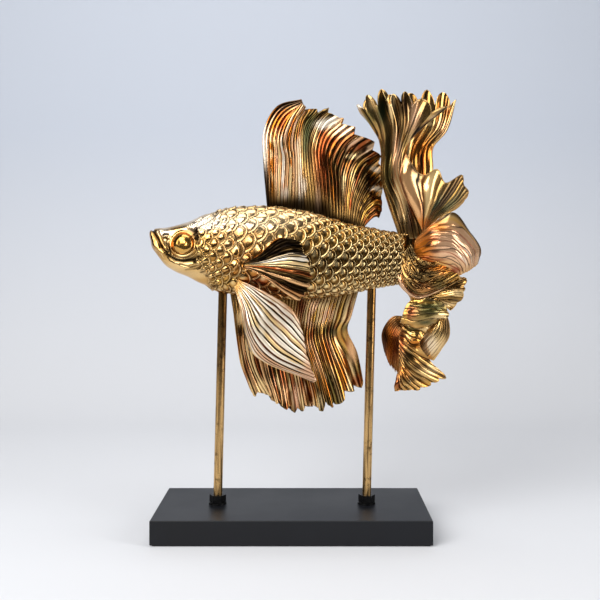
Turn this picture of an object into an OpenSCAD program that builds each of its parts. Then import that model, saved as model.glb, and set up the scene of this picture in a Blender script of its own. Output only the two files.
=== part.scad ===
/* [Plinth] */
// Length of the plinth
plinth_w = 240; // [200:1:320]
// Depth of the plinth
plinth_d = 102; // [80:1:140]
// Thickness of the plinth's board
plinth_t = 21; // [18:0.5:30]
// Chamfer along the plinth's edges
plinth_edge = 0.6; // [0.3:0.1:1.5]
// Thickness of the felt under the plinth
felt_t = 1; // [0.5:0.1:2]
// How far the felt stays back from the plinth's edge
felt_inset = 2; // [1:0.5:6]

/* [Rods] */
// Diameter of both rods, and of their threads
rod_d = 8; // [6:0.5:9]
// Lean of both rods towards the tail, in degrees
rod_lean = 1.4; // [0:0.1:1.6]
// How far each rod screws into the fish
rod_grip = 18; // [12:1:24]
// Height of the fish's middle line above the plinth
fish_h = 223.4; // [200:0.1:260]

/* [Fasteners] */
// Width of a nut across its flats
nut_flats = 13; // [12:0.5:14]
// Height of a nut
nut_h = 6.5; // [5:0.1:8]
// Outer diameter of a washer
washer_d = 16; // [14:0.5:18]
// Thickness of a washer
washer_t = 1.6; // [1:0.1:2]
// Hole through the plinth for a rod
rod_hole_d = 9.2; // [9.2:0.1:10]
// Pocket under the plinth that hides a nut
pocket_d = 22; // [20:0.5:26]
// Depth of that pocket
pocket_t = 11; // [10.5:0.5:13]
// Outer diameter of a threaded insert in the belly
insert_d = 12; // [11:0.5:13]
// How far an insert is sunk above the belly's skin
insert_sink = 4; // [3:0.5:6]

/* [Fish] */
// Length of the fish's body, from its lips to the root of the tail
fish_len = 228; // [200:1:260]
// Greatest width of the body
fish_w = 45; // [38:1:52]
// Diameter of an eyeball
eye_d = 17; // [14:0.5:20]

/* [Fins] */
// Thickness of a fin at its edge
fin_edge_t = 2; // [1.6:0.1:3]
// Thickness of a fin at its root
fin_root_t = 4.6; // [3.6:0.1:6]
// Diameter of the pegs that locate the fins
peg_d = 4; // [3:0.5:5]
// How far a peg goes into the body
peg_grip = 8; // [5:0.5:10]

/* [Hidden] */

// Running clearance between a thread and its nut, and the glue line round a peg or an insert
thread_gap = 0.1;
glue_gap = 0.15;
// A washer is this much wider than its rod all round
washer_gap = 0.2;
// A fin's root stands this far off the skin that carries it, and this much more on the back and belly
seat_gap = 0.3;
root_relief = 0.3;
// The rods stop this far above the felt
rod_recess = 1;
// Cuts run past the face they open by this much
overrun = 1;
// Fineness of round features
round_fn = 48;

gold = [0.83, 0.66, 0.34];
brass = [0.72, 0.58, 0.32];
black = [0.10, 0.10, 0.11];
steel = [0.62, 0.62, 0.63];
felt_black = [0.06, 0.06, 0.06];

// The sculpted forms are drawn as they are seen from in front, in pixels of the photograph:
// [across, down, depth], where depth grows away from the viewer and is counted in the same pixels.
// The body spans fish_px of them, the eye of the viewer is eye_px away and level with sight_px.
fish_px = 251.7;
eye_px = 843;
sight_px = [306.6, 256.6];
mm_per_px = fish_len / fish_px;
// Where the sight line meets the fish: across from the plinth's middle, and up from the floor
sight_share = 0.054;
sight_x = plinth_w * sight_share;
base_top = felt_t + plinth_t;
sight_z = base_top + fish_h;

function place(p) =
    let (k = (eye_px + p.z) / eye_px)
    [(p.x - sight_px.x) * k, p.z, (sight_px.y - p.y) * k] * mm_per_px + [sight_x, 0, sight_z];

// Smooth curve through a list of points or numbers, s from 0 to 1
function blend(a, b, c, d, t) =
    b + (c - a) * t / 2 + (2 * a - 5 * b + 4 * c - d) * t * t / 2 + (3 * b - a - 3 * c + d) * t * t * t / 2;
function along(list, s) =
    let (
        last = len(list) - 1,
        i = min(floor(s * last), last - 1),
        b = list[i],
        c = list[i + 1],
        a = i > 0 ? list[i - 1] : 2 * b - c,
        d = i < last - 1 ? list[i + 2] : 2 * c - b
    )
    blend(a, b, c, d, s * last - i);

// Body

// Outline of the body in the photograph: [along, back, belly, half width]
body_px = [
    [150, 233.5, 239, 3], [151.5, 231, 244.5, 6.5], [155, 229.3, 251.5, 10.5], [160, 228.8, 258.5, 13.5],
    [167, 228, 266, 16], [176, 226, 271.5, 18], [188, 222, 277, 20.5], [202, 215.5, 283.5, 22.5],
    [220, 211.5, 289.5, 24], [240, 209.3, 293.5, 25], [262, 208.2, 296, 25], [285, 210, 297, 24],
    [308, 214.5, 296, 22], [330, 221, 293.5, 19.5], [350, 227, 290.5, 16.5], [370, 231, 286.5, 14],
    [386, 234, 283, 12], [400, 236, 281, 10.5]
];
body_half_px = 25;
body_rings = 40;
body_sides = 28;
// Powers that flatten the flanks a little
flank_power = 0.85;
back_power = 0.95;

function signed_power(v, e) = sign(v) * pow(abs(v), e);
function body_ring(s) =
    let (
        q = along(body_px, s),
        mid = place([q[0], (q[1] + q[2]) / 2, 0]),
        half_h = (q[2] - q[1]) / 2 * mm_per_px,
        half_w = q[3] / body_half_px * fish_w / 2
    )
    [for (k = [0:body_sides - 1])
        let (a = 360 * k / body_sides)
        mid + [0, half_w * signed_power(cos(a), flank_power), half_h * signed_power(sin(a), back_power)]];

module body_skin() {
    rings = [for (i = [0:body_rings]) body_ring(i / body_rings)];
    points = [for (r = rings) each r];
    function id(i, k) = i * body_sides + k % body_sides;
    polyhedron(points, [
        [for (k = [0:body_sides - 1]) id(0, k)],
        [for (k = [0:body_sides - 1]) id(body_rings, body_sides - 1 - k)],
        for (i = [0:body_rings - 1]) for (k = [0:body_sides - 1])
            each [[id(i, k), id(i + 1, k), id(i, k + 1)], [id(i + 1, k), id(i + 1, k + 1), id(i, k + 1)]]
    ]);
}

eye_middle_px = [183.5, 244, -14];

module eyeballs() {
    for (side = [1, -1])
        translate([place(eye_middle_px).x, side * place(eye_middle_px).y, place(eye_middle_px).z])
            sphere(d = eye_d, $fn = round_fn);
}

// Rods stand on the plinth at these pixels across, and lean about the middle of its board
front_rod_px = 217.4;
rear_rod_px = 366.2;
// Where each rod meets the belly, down in the photograph
front_belly_px = 288.5;
rear_belly_px = 286;

function rod_x(px) = place([px, 0, 0]).x;
function belly_z(px) = place([0, px, 0]).z;
module leaning(px) {
    translate([rod_x(px), 0, base_top - plinth_t / 2])
        rotate([0, rod_lean, 0])
            children();
}
// Heights in the leaning frame, from the middle of the board
function grip_top(belly_px) = (belly_z(belly_px) - base_top + plinth_t / 2) / cos(rod_lean) + rod_grip;
rod_foot = felt_t + rod_recess - base_top + plinth_t / 2;
// A leaning nut is lifted by its tilt, so that it bears on one edge
tilt_lift = washer_d / 2 * sin(rod_lean);
top_nut_z = plinth_t / 2 + washer_t + tilt_lift;
under_nut_z = plinth_t / 2 - (plinth_t - pocket_t) - washer_t - tilt_lift - nut_h;

module rod(px, belly_px) {
    color(brass)
        leaning(px)
            translate([0, 0, rod_foot])
                cylinder(d = rod_d, h = grip_top(belly_px) - rod_foot, $fn = round_fn);
}

module nut(px, z) {
    color(black)
        leaning(px)
            translate([0, 0, z])
                difference() {
                    cylinder(d = nut_flats / cos(30), h = nut_h, $fn = 6);
                    translate([0, 0, -overrun])
                        cylinder(d = rod_d + 2 * thread_gap, h = nut_h + 2 * overrun, $fn = round_fn);
                }
}

module washer(px, z) {
    color(black)
        translate([rod_x(px) + (z - base_top + plinth_t / 2) * tan(rod_lean), 0, z])
            difference() {
                cylinder(d = washer_d, h = washer_t, $fn = round_fn);
                translate([0, 0, -overrun])
                    cylinder(d = rod_d + 2 * washer_gap, h = washer_t + 2 * overrun, $fn = round_fn);
            }
}

module insert(px, belly_px) {
    color(steel)
        leaning(px)
            translate([0, 0, grip_top(belly_px) - rod_grip + insert_sink])
                difference() {
                    cylinder(d = insert_d, h = rod_grip - insert_sink, $fn = round_fn);
                    translate([0, 0, -overrun])
                        cylinder(d = rod_d + 2 * thread_gap, h = rod_grip + 2 * overrun, $fn = round_fn);
                }
}

// Socket in the belly for a rod and its insert
module rod_socket(px, belly_px) {
    leaning(px) translate([0, 0, grip_top(belly_px) - rod_grip]) {
        translate([0, 0, -insert_sink])
            cylinder(d = rod_d + 2 * thread_gap, h = 2 * insert_sink + overrun, $fn = round_fn);
        translate([0, 0, insert_sink - glue_gap])
            cylinder(d = insert_d + 2 * glue_gap, h = rod_grip - insert_sink + 2 * glue_gap, $fn = round_fn);
    }
}

// Plinth and felt

module plinth() {
    color(black)
        difference() {
            hull() {
                translate([0, 0, felt_t + plinth_t / 2])
                    cube([plinth_w, plinth_d, plinth_t - 2 * plinth_edge], center = true);
                translate([0, 0, felt_t + plinth_t / 2])
                    cube([plinth_w - 2 * plinth_edge, plinth_d - 2 * plinth_edge, plinth_t], center = true);
            }
            for (px = [front_rod_px, rear_rod_px]) translate([rod_x(px), 0, felt_t - overrun]) {
                cylinder(d = rod_hole_d, h = plinth_t + 2 * overrun, $fn = round_fn);
                cylinder(d = pocket_d, h = pocket_t + overrun, $fn = round_fn);
            }
        }
}

module base_felt() {
    color(felt_black)
        translate([0, 0, felt_t / 2])
            cube([plinth_w - 2 * felt_inset, plinth_d - 2 * felt_inset, felt_t], center = true);
}

// Where the body's skin lies at a pixel of the photograph

function column(x, k) = lookup(x, [for (p = body_px) [p[0], p[k]]]);
function flank_share(x, y) =
    let (
        back = column(x, 1),
        belly = column(x, 2),
        t = min(1, abs(2 * y - back - belly) / (belly - back)),
        s = pow(t, 1 / back_power)
    )
    pow(sqrt(1 - s * s), flank_power);
// Depth of the flank at a pixel, in pixels, counted from the body's middle
function flank(x, y) = flank_share(x, y) * column(x, 3) / body_half_px * fish_w / 2 / mm_per_px;

// Pegs

function to(a, b) = (b - a) / norm(b - a);
module between(a, b, d) {
    v = b - a;
    translate(a)
        rotate([0, acos(v.z / norm(v)), atan2(v.y, v.x)])
            cylinder(d = d, h = norm(v), $fn = round_fn);
}
// A peg is [its place on the root, a place that it points to], both in pixels
module pegs(list) {
    for (p = list) {
        a = place(p[0]);
        d = to(a, place(p[1]));
        between(a - d * peg_d, a + d * peg_grip, peg_d);
    }
}
module peg_holes(list) {
    for (p = list) {
        a = place(p[0]);
        d = to(a, place(p[1]));
        between(a - d * peg_d, a + d * (peg_grip + glue_gap), peg_d + 2 * glue_gap);
    }
}

// Fins and tail lobes

// A sheet follows a table of rays. Each ray runs from the root to the edge, through [across, down, depth].
// Its grid is the count of steps across the rays and the count along them.
function ray_points(rays, steps) = [for (r = rays) [for (j = [0:steps]) along(r, j / steps)]];
function sheet_grid(rays, turns, steps) =
    let (table = ray_points(rays, steps))
    [for (i = [0:turns]) [for (j = [0:steps])
        place(along([for (r = table) r[j]], i / turns))]];
function clamp(i, last) = max(0, min(last, i));
function sheet_normal(g, i, j) =
    let (
        turns = len(g) - 1,
        steps = len(g[0]) - 1,
        n = cross(g[clamp(i + 1, turns)][j] - g[clamp(i - 1, turns)][j],
                  g[i][clamp(j + 1, steps)] - g[i][clamp(j - 1, steps)])
    )
    n / norm(n);

// Folds are waves across a sheet that swell towards its edge:
// [count, height in pixels, start as a share of a wave, power by which they swell]
flat = [0, 0, 0, 1];
function folded(g, folds) =
    let (turns = len(g) - 1, steps = len(g[0]) - 1)
    [for (i = [0:turns]) [for (j = [0:steps])
        let (swell = folds[1] * mm_per_px * pow(j / steps, folds[3]))
        g[i][j] + sheet_normal(g, i, j) * swell * sin(360 * (folds[0] * i / turns + folds[2]))]];

module sheet(rays, grid, folds = flat) {
    turns = grid[0];
    steps = grid[1];
    g = folded(sheet_grid(rays, turns, steps), folds);
    size = (turns + 1) * (steps + 1);
    function half_t(j) = (fin_root_t + (fin_edge_t - fin_root_t) * j / steps) / 2;
    function id(i, j) = i * (steps + 1) + j;
    front = [for (i = [0:turns]) for (j = [0:steps]) g[i][j] + half_t(j) * sheet_normal(g, i, j)];
    rear = [for (i = [0:turns]) for (j = [0:steps]) g[i][j] - half_t(j) * sheet_normal(g, i, j)];
    function quad(a, b, c, d) = [[a, b, c], [a, c, d]];
    polyhedron(concat(front, rear), [
        for (i = [0:turns - 1]) for (j = [0:steps - 1]) each concat(
            quad(id(i, j), id(i, j + 1), id(i + 1, j + 1), id(i + 1, j)),
            quad(size + id(i, j), size + id(i + 1, j), size + id(i + 1, j + 1), size + id(i, j + 1))
        ),
        for (i = [0:turns - 1]) each concat(
            quad(id(i, 0), id(i + 1, 0), size + id(i + 1, 0), size + id(i, 0)),
            quad(id(i + 1, steps), id(i, steps), size + id(i, steps), size + id(i + 1, steps))
        ),
        for (j = [0:steps - 1]) each concat(
            quad(id(0, j + 1), id(0, j), size + id(0, j), size + id(0, j + 1)),
            quad(id(turns, j), id(turns, j + 1), size + id(turns, j + 1), size + id(turns, j))
        )
    ]);
}

// Rays drawn flat get their depth from a sway that each has at its tip, and that grows along it
sway_power = 1.3;
function swayed(rays, sways) =
    [for (r = [0:len(rays) - 1])
        let (last = len(rays[r]) - 1)
        [for (j = [0:last]) [rays[r][j].x, rays[r][j].y, sways[r] * pow(j / last, sway_power)]]];
// Roots that follow the back or the belly stand off its skin by the seat gap
function root_at(x, k, side) = [x, column(x, k) - side * (seat_gap + root_relief) / mm_per_px];
function root3(x, k, side) = concat(root_at(x, k, side), [0]);

dorsal_px = [
    [[268, 187], [265, 166], [264, 146], [266, 127]],
    [[275, 184], [273, 160], [271, 135], [275, 110]],
    [[284, 182], [282, 155], [281, 128], [288, 100.5]],
    [[292, 182], [290, 154], [291, 126], [302, 100]],
    [[300, 184], [296, 156], [297, 130], [307, 106]],
    [[308, 186], [303, 161], [304, 136], [318, 109]],
    [[316, 188], [310, 165], [314, 138], [330, 108]],
    [[325, 191], [320, 168], [324, 141], [341, 115.5]],
    [[333, 196], [329, 176], [334, 149], [351, 124]],
    [[341, 200], [339, 182], [347, 156], [365, 133]],
    [[351, 203], [357, 183], [363, 163], [377, 149]],
    [[358, 207], [366, 192], [373, 177], [383.5, 173]],
    [[363, 212], [370, 203], [377, 194], [386, 190]],
    [[366, 219], [372, 212], [377, 206], [382, 206]],
    [[368, 225], [372, 221], [376, 218], [379, 220]]
];
dorsal_roots_px = [267, 273, 281, 290, 299, 308, 316, 324, 332, 339, 345, 350, 355, 359, 363];
dorsal_sway_px = [4, -3, -9, -11, -4, 8, 12, 4, -7, -9, 0, 13, 15, 13, 9];
dorsal_rays = swayed(
    [for (i = [0:len(dorsal_px) - 1]) concat([root_at(dorsal_roots_px[i], 1, 1)], dorsal_px[i])],
    dorsal_sway_px
);
dorsal_peg_px = [284, 312, 340];
dorsal_pegs = [for (x = dorsal_peg_px) [root3(x, 1, 1), root3(x, 2, 1)]];

dorsal_folds = [5.5, 2.2, 0.1, 1.6];
long_fin_grid = [55, 12];

module dorsal_fin() {
    color(gold) {
        sheet(dorsal_rays, long_fin_grid, dorsal_folds);
        pegs(dorsal_pegs);
    }
}

anal_px = [
    [[234, 318], [238, 345], [243, 370], [253, 395]],
    [[241, 320], [244, 347], [251, 374], [262, 397.5]],
    [[249, 322], [253, 350], [261, 377], [273, 398]],
    [[258, 324], [263, 352], [270, 381], [277, 405]],
    [[268, 325], [273, 354], [280, 383], [286, 410]],
    [[278, 326], [283, 354], [290, 384], [296, 415]],
    [[287, 325], [291, 352], [298, 382], [303, 412]],
    [[294, 323], [296, 349], [304, 379], [310, 410]],
    [[300, 321], [300, 346], [309, 376], [317, 410]],
    [[306, 319], [305, 343], [314, 373], [324, 412]],
    [[313, 318], [311, 341], [320, 370], [331, 409]],
    [[321, 317], [318, 339], [327, 367], [338, 409]],
    [[330, 316], [326, 337], [335, 363], [346, 399]],
    [[339, 315], [335, 335], [344, 358], [355, 392]],
    [[351, 315], [347, 331], [357, 354], [364, 388]]
];
anal_roots_px = [230, 238, 247, 257, 268, 279, 289, 297, 304, 311, 319, 327, 336, 345, 358];
anal_sway_px = [2, -4, -8, -7, -2, 5, 9, 9, 3, -5, -10, -9, -2, 6, 11];
anal_rays = swayed(
    [for (i = [0:len(anal_px) - 1]) concat([root_at(anal_roots_px[i], 2, -1)], anal_px[i])],
    anal_sway_px
);
anal_peg_px = [256, 294, 332];
anal_pegs = [for (x = anal_peg_px) [root3(x, 2, -1), root3(x, 1, -1)]];
anal_folds = [5, 2.4, 0.55, 1.4];

module anal_fin() {
    color(gold) {
        sheet(anal_rays, long_fin_grid, anal_folds);
        pegs(anal_pegs);
    }
}

// Side fins stand off the flank where they root. Their depth is counted outwards from there.
function outward(rays, root) =
    let (skin = flank(root.x, root.y) + (fin_root_t / 2 + seat_gap) / mm_per_px)
    [for (r = rays) [for (p = r) [p.x, p.y, -skin - p.z]]];

pectoral_root_px = [248, 264];
pectoral_px = [
    [[248, 260.5, 1], [259, 255, 3], [270, 245.5, 5], [283, 238, 6], [297, 239.5, 5]],
    [[248.5, 262, 1], [262, 257, 4], [276, 250, 7], [290, 246, 9], [305, 250, 9]],
    [[249, 263.5, 1], [264, 261, 4], [280, 258, 8], [295, 257, 10], [310, 262, 10]],
    [[249, 265, 1], [264, 266, 4], [281, 267, 7], [296, 269, 9], [312, 274, 9]],
    [[249, 266.5, 1], [263, 271, 4], [279, 276, 7], [295, 281, 9], [310, 287, 10]],
    [[248.5, 268, 1], [261, 276, 3], [275, 284, 5], [289, 292, 7], [305, 298, 8]],
    [[248, 269.5, 1], [257, 277, 2], [268, 284, 4], [280, 293, 5], [298, 304, 5]]
];
pectoral_rays = outward(pectoral_px, pectoral_root_px);
// From inside the root, straight into the flank
pectoral_peg_px = [251, 264];
pectoral_pegs = [[
    concat(pectoral_peg_px, [pectoral_rays[3][0].z]),
    concat(pectoral_peg_px, [0])
]];

pelvic_root_px = [237, 281];
pelvic_px = [
    [[240, 280, 2], [265, 292, 6], [291, 310, 9], [301, 336, 9], [317, 380, 7]],
    [[240, 282, 2], [257, 297, 7], [280, 318, 12], [293, 342, 13], [312, 381, 8]],
    [[239, 284, 2], [252, 301, 8], [271, 325, 14], [285, 350, 14], [300, 377.5, 8]],
    [[238, 286, 2], [249, 305, 9], [263, 331, 15], [275, 354, 14], [286, 372, 9]],
    [[237, 287, 2], [246, 308, 9], [255, 335, 14], [265, 352, 13], [272, 365, 10]],
    [[236, 288, 3], [243, 305, 9], [247, 327, 12], [252, 343, 11], [259, 357, 10]],
    [[235, 288, 3], [241, 298, 7], [244, 312, 9], [245, 328, 9], [248, 346, 8]]
];
pelvic_rays = outward(pelvic_px, pelvic_root_px);
// From inside the root, up into the belly
pelvic_peg_px = [240, 285];
pelvic_peg_to_px = [242, 269, 0];
pelvic_pegs = [[concat(pelvic_peg_px, [pelvic_rays[2][0].z]), pelvic_peg_to_px]];

pectoral_grid = [16, 8];
pelvic_grid = [18, 12];

module pectoral_fin() {
    color(gold) {
        sheet(pectoral_rays, pectoral_grid);
        pegs(pectoral_pegs);
    }
}
module pelvic_fin() {
    color(gold) {
        sheet(pelvic_rays, pelvic_grid);
        pegs(pelvic_pegs);
    }
}

// The stem is a bent column of ellipses: [across, down, depth, half width, half depth]
stem_px = [
    [411.5, 232, 1, 10.5, 10], [412, 246, 1, 10.5, 9], [412.5, 262, 1, 11, 8], [414, 278, 1, 11, 8],
    [418, 293, 2, 10.5, 7], [420, 307, 4, 10, 6.5], [418.5, 322, 5, 8, 6]
];
stem_rings = 20;
stem_sides = 20;

module stem_skin() {
    function id(i, k) = i * stem_sides + k % stem_sides;
    points = [for (i = [0:stem_rings]) for (k = [0:stem_sides - 1])
        let (q = along(stem_px, i / stem_rings), a = 360 * k / stem_sides)
        place([q[0], q[1], q[2]]) + mm_per_px * [q[3] * cos(a), q[4] * sin(a), 0]];
    polyhedron(points, [
        [for (k = [0:stem_sides - 1]) id(0, stem_sides - 1 - k)],
        [for (k = [0:stem_sides - 1]) id(stem_rings, k)],
        for (i = [0:stem_rings - 1]) for (k = [0:stem_sides - 1])
            each [[id(i, k), id(i, k + 1), id(i + 1, k)], [id(i, k + 1), id(i + 1, k + 1), id(i + 1, k)]]
    ]);
}

// Trumpet of the upper tail: from its rolled front edge, round by the left, to the back wall's edge
plume_px = [
    [[417, 231, -5], [413, 204, -4], [402, 175, -4], [404, 150, -6], [423, 129, -9], [450, 107, -10]],
    [[414.5, 231, -6.5], [409.5, 203, -7], [399, 174, -6.5],
     [401.5, 148, -9], [415, 125, -15], [427, 95, -20]],
    [[411, 231, -7], [405, 202, -7.5], [395, 172, -8], [400, 146, -11], [408, 121, -18], [410, 95, -25]],
    [[408, 231, -6.5], [401, 201, -7.5], [392, 173, -8], [396, 147, -11], [399, 121, -18], [395, 96, -25]],
    [[405, 231, -4.5], [397, 201, -6], [388.5, 174, -7], [391, 148, -9], [391, 124, -15], [382, 91, -22]],
    [[403, 231, -2], [392, 202, -3], [385, 175, -3.5], [386, 149, -5], [380, 128, -8], [368, 99, -13]],
    [[402.5, 231, 1], [389.5, 202, 1], [383.5, 175, 1], [383.5, 150, 1], [375, 131, 1], [357, 105, 0]],
    [[403.5, 231, 4], [391, 202, 5], [386, 175, 5.5], [387, 150, 7], [381, 129, 10], [368, 101, 13]],
    [[406, 231, 6.5], [396, 202, 8], [391, 174, 9], [395, 148, 12], [396, 125, 18], [388, 96, 24]],
    [[410, 231, 8], [404, 201, 10], [400, 173, 11], [405, 148, 15], [412, 122, 22], [409, 96, 29]],
    [[413.5, 231, 8], [413, 201, 10], [412, 173, 11], [415, 148, 15], [426, 122, 21], [427, 96, 27]],
    [[416.5, 231, 6.5], [420, 201, 9], [423, 173, 10], [425, 148, 12], [438, 125, 16], [443, 96, 20]],
    [[418, 231, 5], [426, 201, 8], [433, 172, 9], [433.5, 148, 10], [447, 129, 11], [457, 101, 12]]
];
plume_grid = [36, 14];
plume_pegs = [
    [[411, 231.5, -5.5], [411, 250, -4]],
    [[411, 231.5, 7], [412, 250, 5]]
];

petal_px = [
    [[422.5, 229, -3], [417, 209, -11], [408.5, 193, -14], [403, 173, -14.5], [405, 154, -15]],
    [[423, 229.5, -3], [419, 208, -12], [413, 192, -16], [409, 177, -18], [411, 164, -18]],
    [[423.5, 230, -3], [422, 208, -12], [419, 194, -15], [417, 183, -16], [418.5, 173, -15]],
    [[424.5, 231, -3], [425.5, 208, -10], [425, 196, -12], [425.5, 185, -12], [427.5, 175, -11]],
    [[425.5, 232, -3], [429, 209, -10], [431.5, 198, -13], [434.5, 185, -13], [438.5, 169, -9]],
    [[426, 232.5, -2.5], [432, 211, -6], [436.5, 202, -7], [440.5, 193, -6], [445, 182, -4]],
    [[426.5, 233, -2.5], [435, 212, -3], [443, 203, -3], [452, 191, -1], [462, 174.5, 2]],
    [[427, 234, -2], [436.5, 214, -1], [446, 207, 1], [455, 198, 4], [463.5, 186, 6]],
    [[427.5, 235, -2], [437.5, 216, 1], [448, 210, 4], [458, 203, 8], [468, 193, 10]],
    [[428, 236, -1.5], [438, 218.5, 3], [447, 213.5, 7], [455, 209, 12], [461, 204, 16]]
];
petal_grid = [27, 10];
petal_pegs = [[[425, 232, -3], [414, 246, 0]]];

shell_px = [
    [[423.5, 240, -9], [434, 223, -14], [453, 212.5, -8], [468, 230, -3], [480, 249, 0], [477, 264, 3]],
    [[423, 243, -9], [434, 229, -18], [451, 225, -17], [466, 236, -11], [476.5, 250, -7], [474, 267, -2]],
    [[422.5, 246, -9], [434, 235, -21], [451, 233, -22], [464, 242, -17], [473, 254, -12], [471, 269, -6]],
    [[422.5, 249, -9], [434, 241, -22], [450, 240, -24],
     [462, 248, -20], [470, 258, -15], [469, 270.5, -8]],
    [[422.5, 252, -9], [433, 247, -22], [449, 247, -24],
     [460, 253.5, -21], [467, 261.5, -16], [466.5, 272, -9]],
    [[423, 255, -9], [433, 253.5, -20], [448, 254, -22],
     [457, 259, -20], [463.5, 265.5, -15], [464, 273, -9]],
    [[424, 257.5, -9], [432, 259, -17], [445, 261, -18],
     [454, 264.5, -17], [460, 269, -13], [461, 274.5, -8]],
    [[425, 260, -9], [431, 265, -13], [442, 267.5, -13],
     [450, 270.5, -12], [456, 273, -10], [458, 275.5, -7]]
];
shell_grid = [14, 15];
shell_pegs = [[[423, 250, -8], [412, 250, 1]]];

frill_px = [
    [[422.5, 284, -9], [419.5, 278, -12], [419, 271, -14], [421, 263, -14]],
    [[424, 286, -8], [426, 280, -9], [429, 273, -8], [434, 265, -5]],
    [[425.5, 288, -7], [432, 283, -6], [439, 278, -4], [447, 271, -1]],
    [[427, 290, -6], [438, 285, -5], [450, 280, -3], [462, 276, 0]],
    [[428, 291.5, -6], [440, 288, -6.5], [453, 283.5, -7], [467, 279, -3]],
    [[429, 293, -6], [441, 291, -8], [454, 288, -9], [466, 286, -7]],
    [[429.5, 295, -5.5], [441, 295.5, -9], [454, 294, -13], [465, 294, -12]],
    [[430, 297, -5], [441, 299.5, -8], [451, 302, -10], [460, 303, -9]],
    [[430, 299, -4], [438, 303, -5], [445, 308, -5], [452, 311, -3]]
];
frill_grid = [16, 8];
frill_pegs = [[[430, 292, -3], [418, 292, 2]]];

sash_px = [
    [[416, 299, -6], [426, 299, -10], [437, 302, -11], [447, 307, -9]],
    [[411, 304, -8], [423, 305, -13], [437, 307.5, -13.5], [449, 311.5, -10]],
    [[408, 310, -9], [420, 312, -15], [436, 313, -14], [449, 315.5, -9]],
    [[405.5, 317, -9], [417, 320, -15], [430, 319, -13], [441, 317, -9]],
    [[403, 324, -7], [413, 328, -12], [423, 329, -12], [434, 325, -9]]
];
sash_grid = [12, 6];
sash_pegs = [[[420, 307, -9], [420, 307, 4]]];

train_px = [
    [[412, 324.5, 4], [403, 335, -2], [399.5, 351, -6], [400, 369, -4], [396, 388, -1]],
    [[414, 324.5, 4], [408, 337, -5], [404, 354, -12], [405, 373, -10], [403, 389, -6]],
    [[416, 324.5, 4], [412, 339, -6], [411, 357, -14], [413, 375, -13], [413, 390, -8]],
    [[418, 324.5, 4], [415, 340, -6], [415, 358, -13], [420, 375, -11], [424, 388, -6]],
    [[420, 324.5, 4], [418, 340, -5], [419, 357, -10], [426, 373, -7], [433, 385, -2]],
    [[422, 324.5, 4], [421, 340, -4], [422, 355, -6], [430, 369, -2], [440, 381, 2]],
    [[424, 324.5, 4], [423, 339, -3], [425, 353, -4], [434, 365, 1], [446, 377, 7]]
];
train_grid = [16, 12];
train_pegs = [[[418, 325, 4], [418, 305, 4]]];

leaf_px = [
    [[429, 321, 3], [428, 332, 4], [424, 339, 6], [421, 345, 8]],
    [[431, 320, 2], [434, 333, 1], [428, 344, 3], [423, 352, 6]],
    [[433, 319, 2], [440, 332, -1], [434, 346, 1], [426.5, 357, 5]],
    [[434.5, 318, 3], [445, 331, 0], [439, 347, 2], [430, 361, 6]],
    [[435.5, 317, 5], [449, 330, 4], [444, 347, 5], [436, 359, 9]]
];
leaf_grid = [10, 8];
leaf_pegs = [[[432, 318, 3], [420, 308, 4]]];

veil_px = [
    [[404, 317, 9], [390, 321, 11], [383.5, 334, 13], [386, 352, 14]],
    [[405, 319, 9], [393, 327, 7], [388, 342, 7], [391, 365, 8]],
    [[406, 321, 9], [397, 333, 6], [394, 349, 6], [395, 372, 7]],
    [[407, 323, 10], [402, 338, 8], [400, 354, 8], [399, 373, 9]],
    [[408, 325, 11], [407, 341, 12], [405, 356, 13], [402, 370, 13]]
];
veil_grid = [10, 10];
veil_pegs = [[[406, 318, 9], [419, 311, 4.5]]];

// Two pegs of the stem go forward into the body
stem_pegs = [
    [[401, 248, 0], [380, 248, 0]],
    [[401, 268, 0], [380, 268, 0]]
];

module tail_stem() {
    color(gold)
        difference() {
            union() {
                stem_skin();
                pegs(stem_pegs);
            }
            peg_holes(concat(plume_pegs, petal_pegs, shell_pegs, frill_pegs));
            peg_holes(concat(sash_pegs, train_pegs, leaf_pegs, veil_pegs));
        }
}

module lobe(rays, grid, peg_list) {
    color(gold) {
        sheet(rays, grid);
        pegs(peg_list);
    }
}

module fish_body() {
    color(gold)
        difference() {
            union() {
                body_skin();
                eyeballs();
            }
            rod_socket(front_rod_px, front_belly_px);
            rod_socket(rear_rod_px, rear_belly_px);
            peg_holes(concat(dorsal_pegs, anal_pegs, stem_pegs));
            peg_holes(concat(pectoral_pegs, pelvic_pegs));
            mirror([0, 1, 0])
                peg_holes(concat(pectoral_pegs, pelvic_pegs));
        }
}

plinth();
base_felt();
rod(front_rod_px, front_belly_px);  // front_rod
rod(rear_rod_px, rear_belly_px);  // rear_rod
nut(front_rod_px, top_nut_z);  // front_top_nut
nut(rear_rod_px, top_nut_z);  // rear_top_nut
nut(front_rod_px, under_nut_z);  // front_under_nut
nut(rear_rod_px, under_nut_z);  // rear_under_nut
washer(front_rod_px, base_top);  // front_top_washer
washer(rear_rod_px, base_top);  // rear_top_washer
washer(front_rod_px, felt_t + pocket_t - washer_t);  // front_under_washer
washer(rear_rod_px, felt_t + pocket_t - washer_t);  // rear_under_washer
insert(front_rod_px, front_belly_px);  // front_insert
insert(rear_rod_px, rear_belly_px);  // rear_insert
fish_body();
dorsal_fin();
anal_fin();
pectoral_fin();  // left_pectoral_fin
mirror([0, 1, 0]) pectoral_fin();  // right_pectoral_fin
pelvic_fin();  // left_pelvic_fin
mirror([0, 1, 0]) pelvic_fin();  // right_pelvic_fin
tail_stem();
lobe(plume_px, plume_grid, plume_pegs);  // tail_plume
lobe(petal_px, petal_grid, petal_pegs);  // tail_petal
lobe(shell_px, shell_grid, shell_pegs);  // tail_shell
lobe(frill_px, frill_grid, frill_pegs);  // tail_frill
lobe(sash_px, sash_grid, sash_pegs);  // tail_sash
lobe(train_px, train_grid, train_pegs);  // tail_train
lobe(leaf_px, leaf_grid, leaf_pegs);  // tail_leaf
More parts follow.
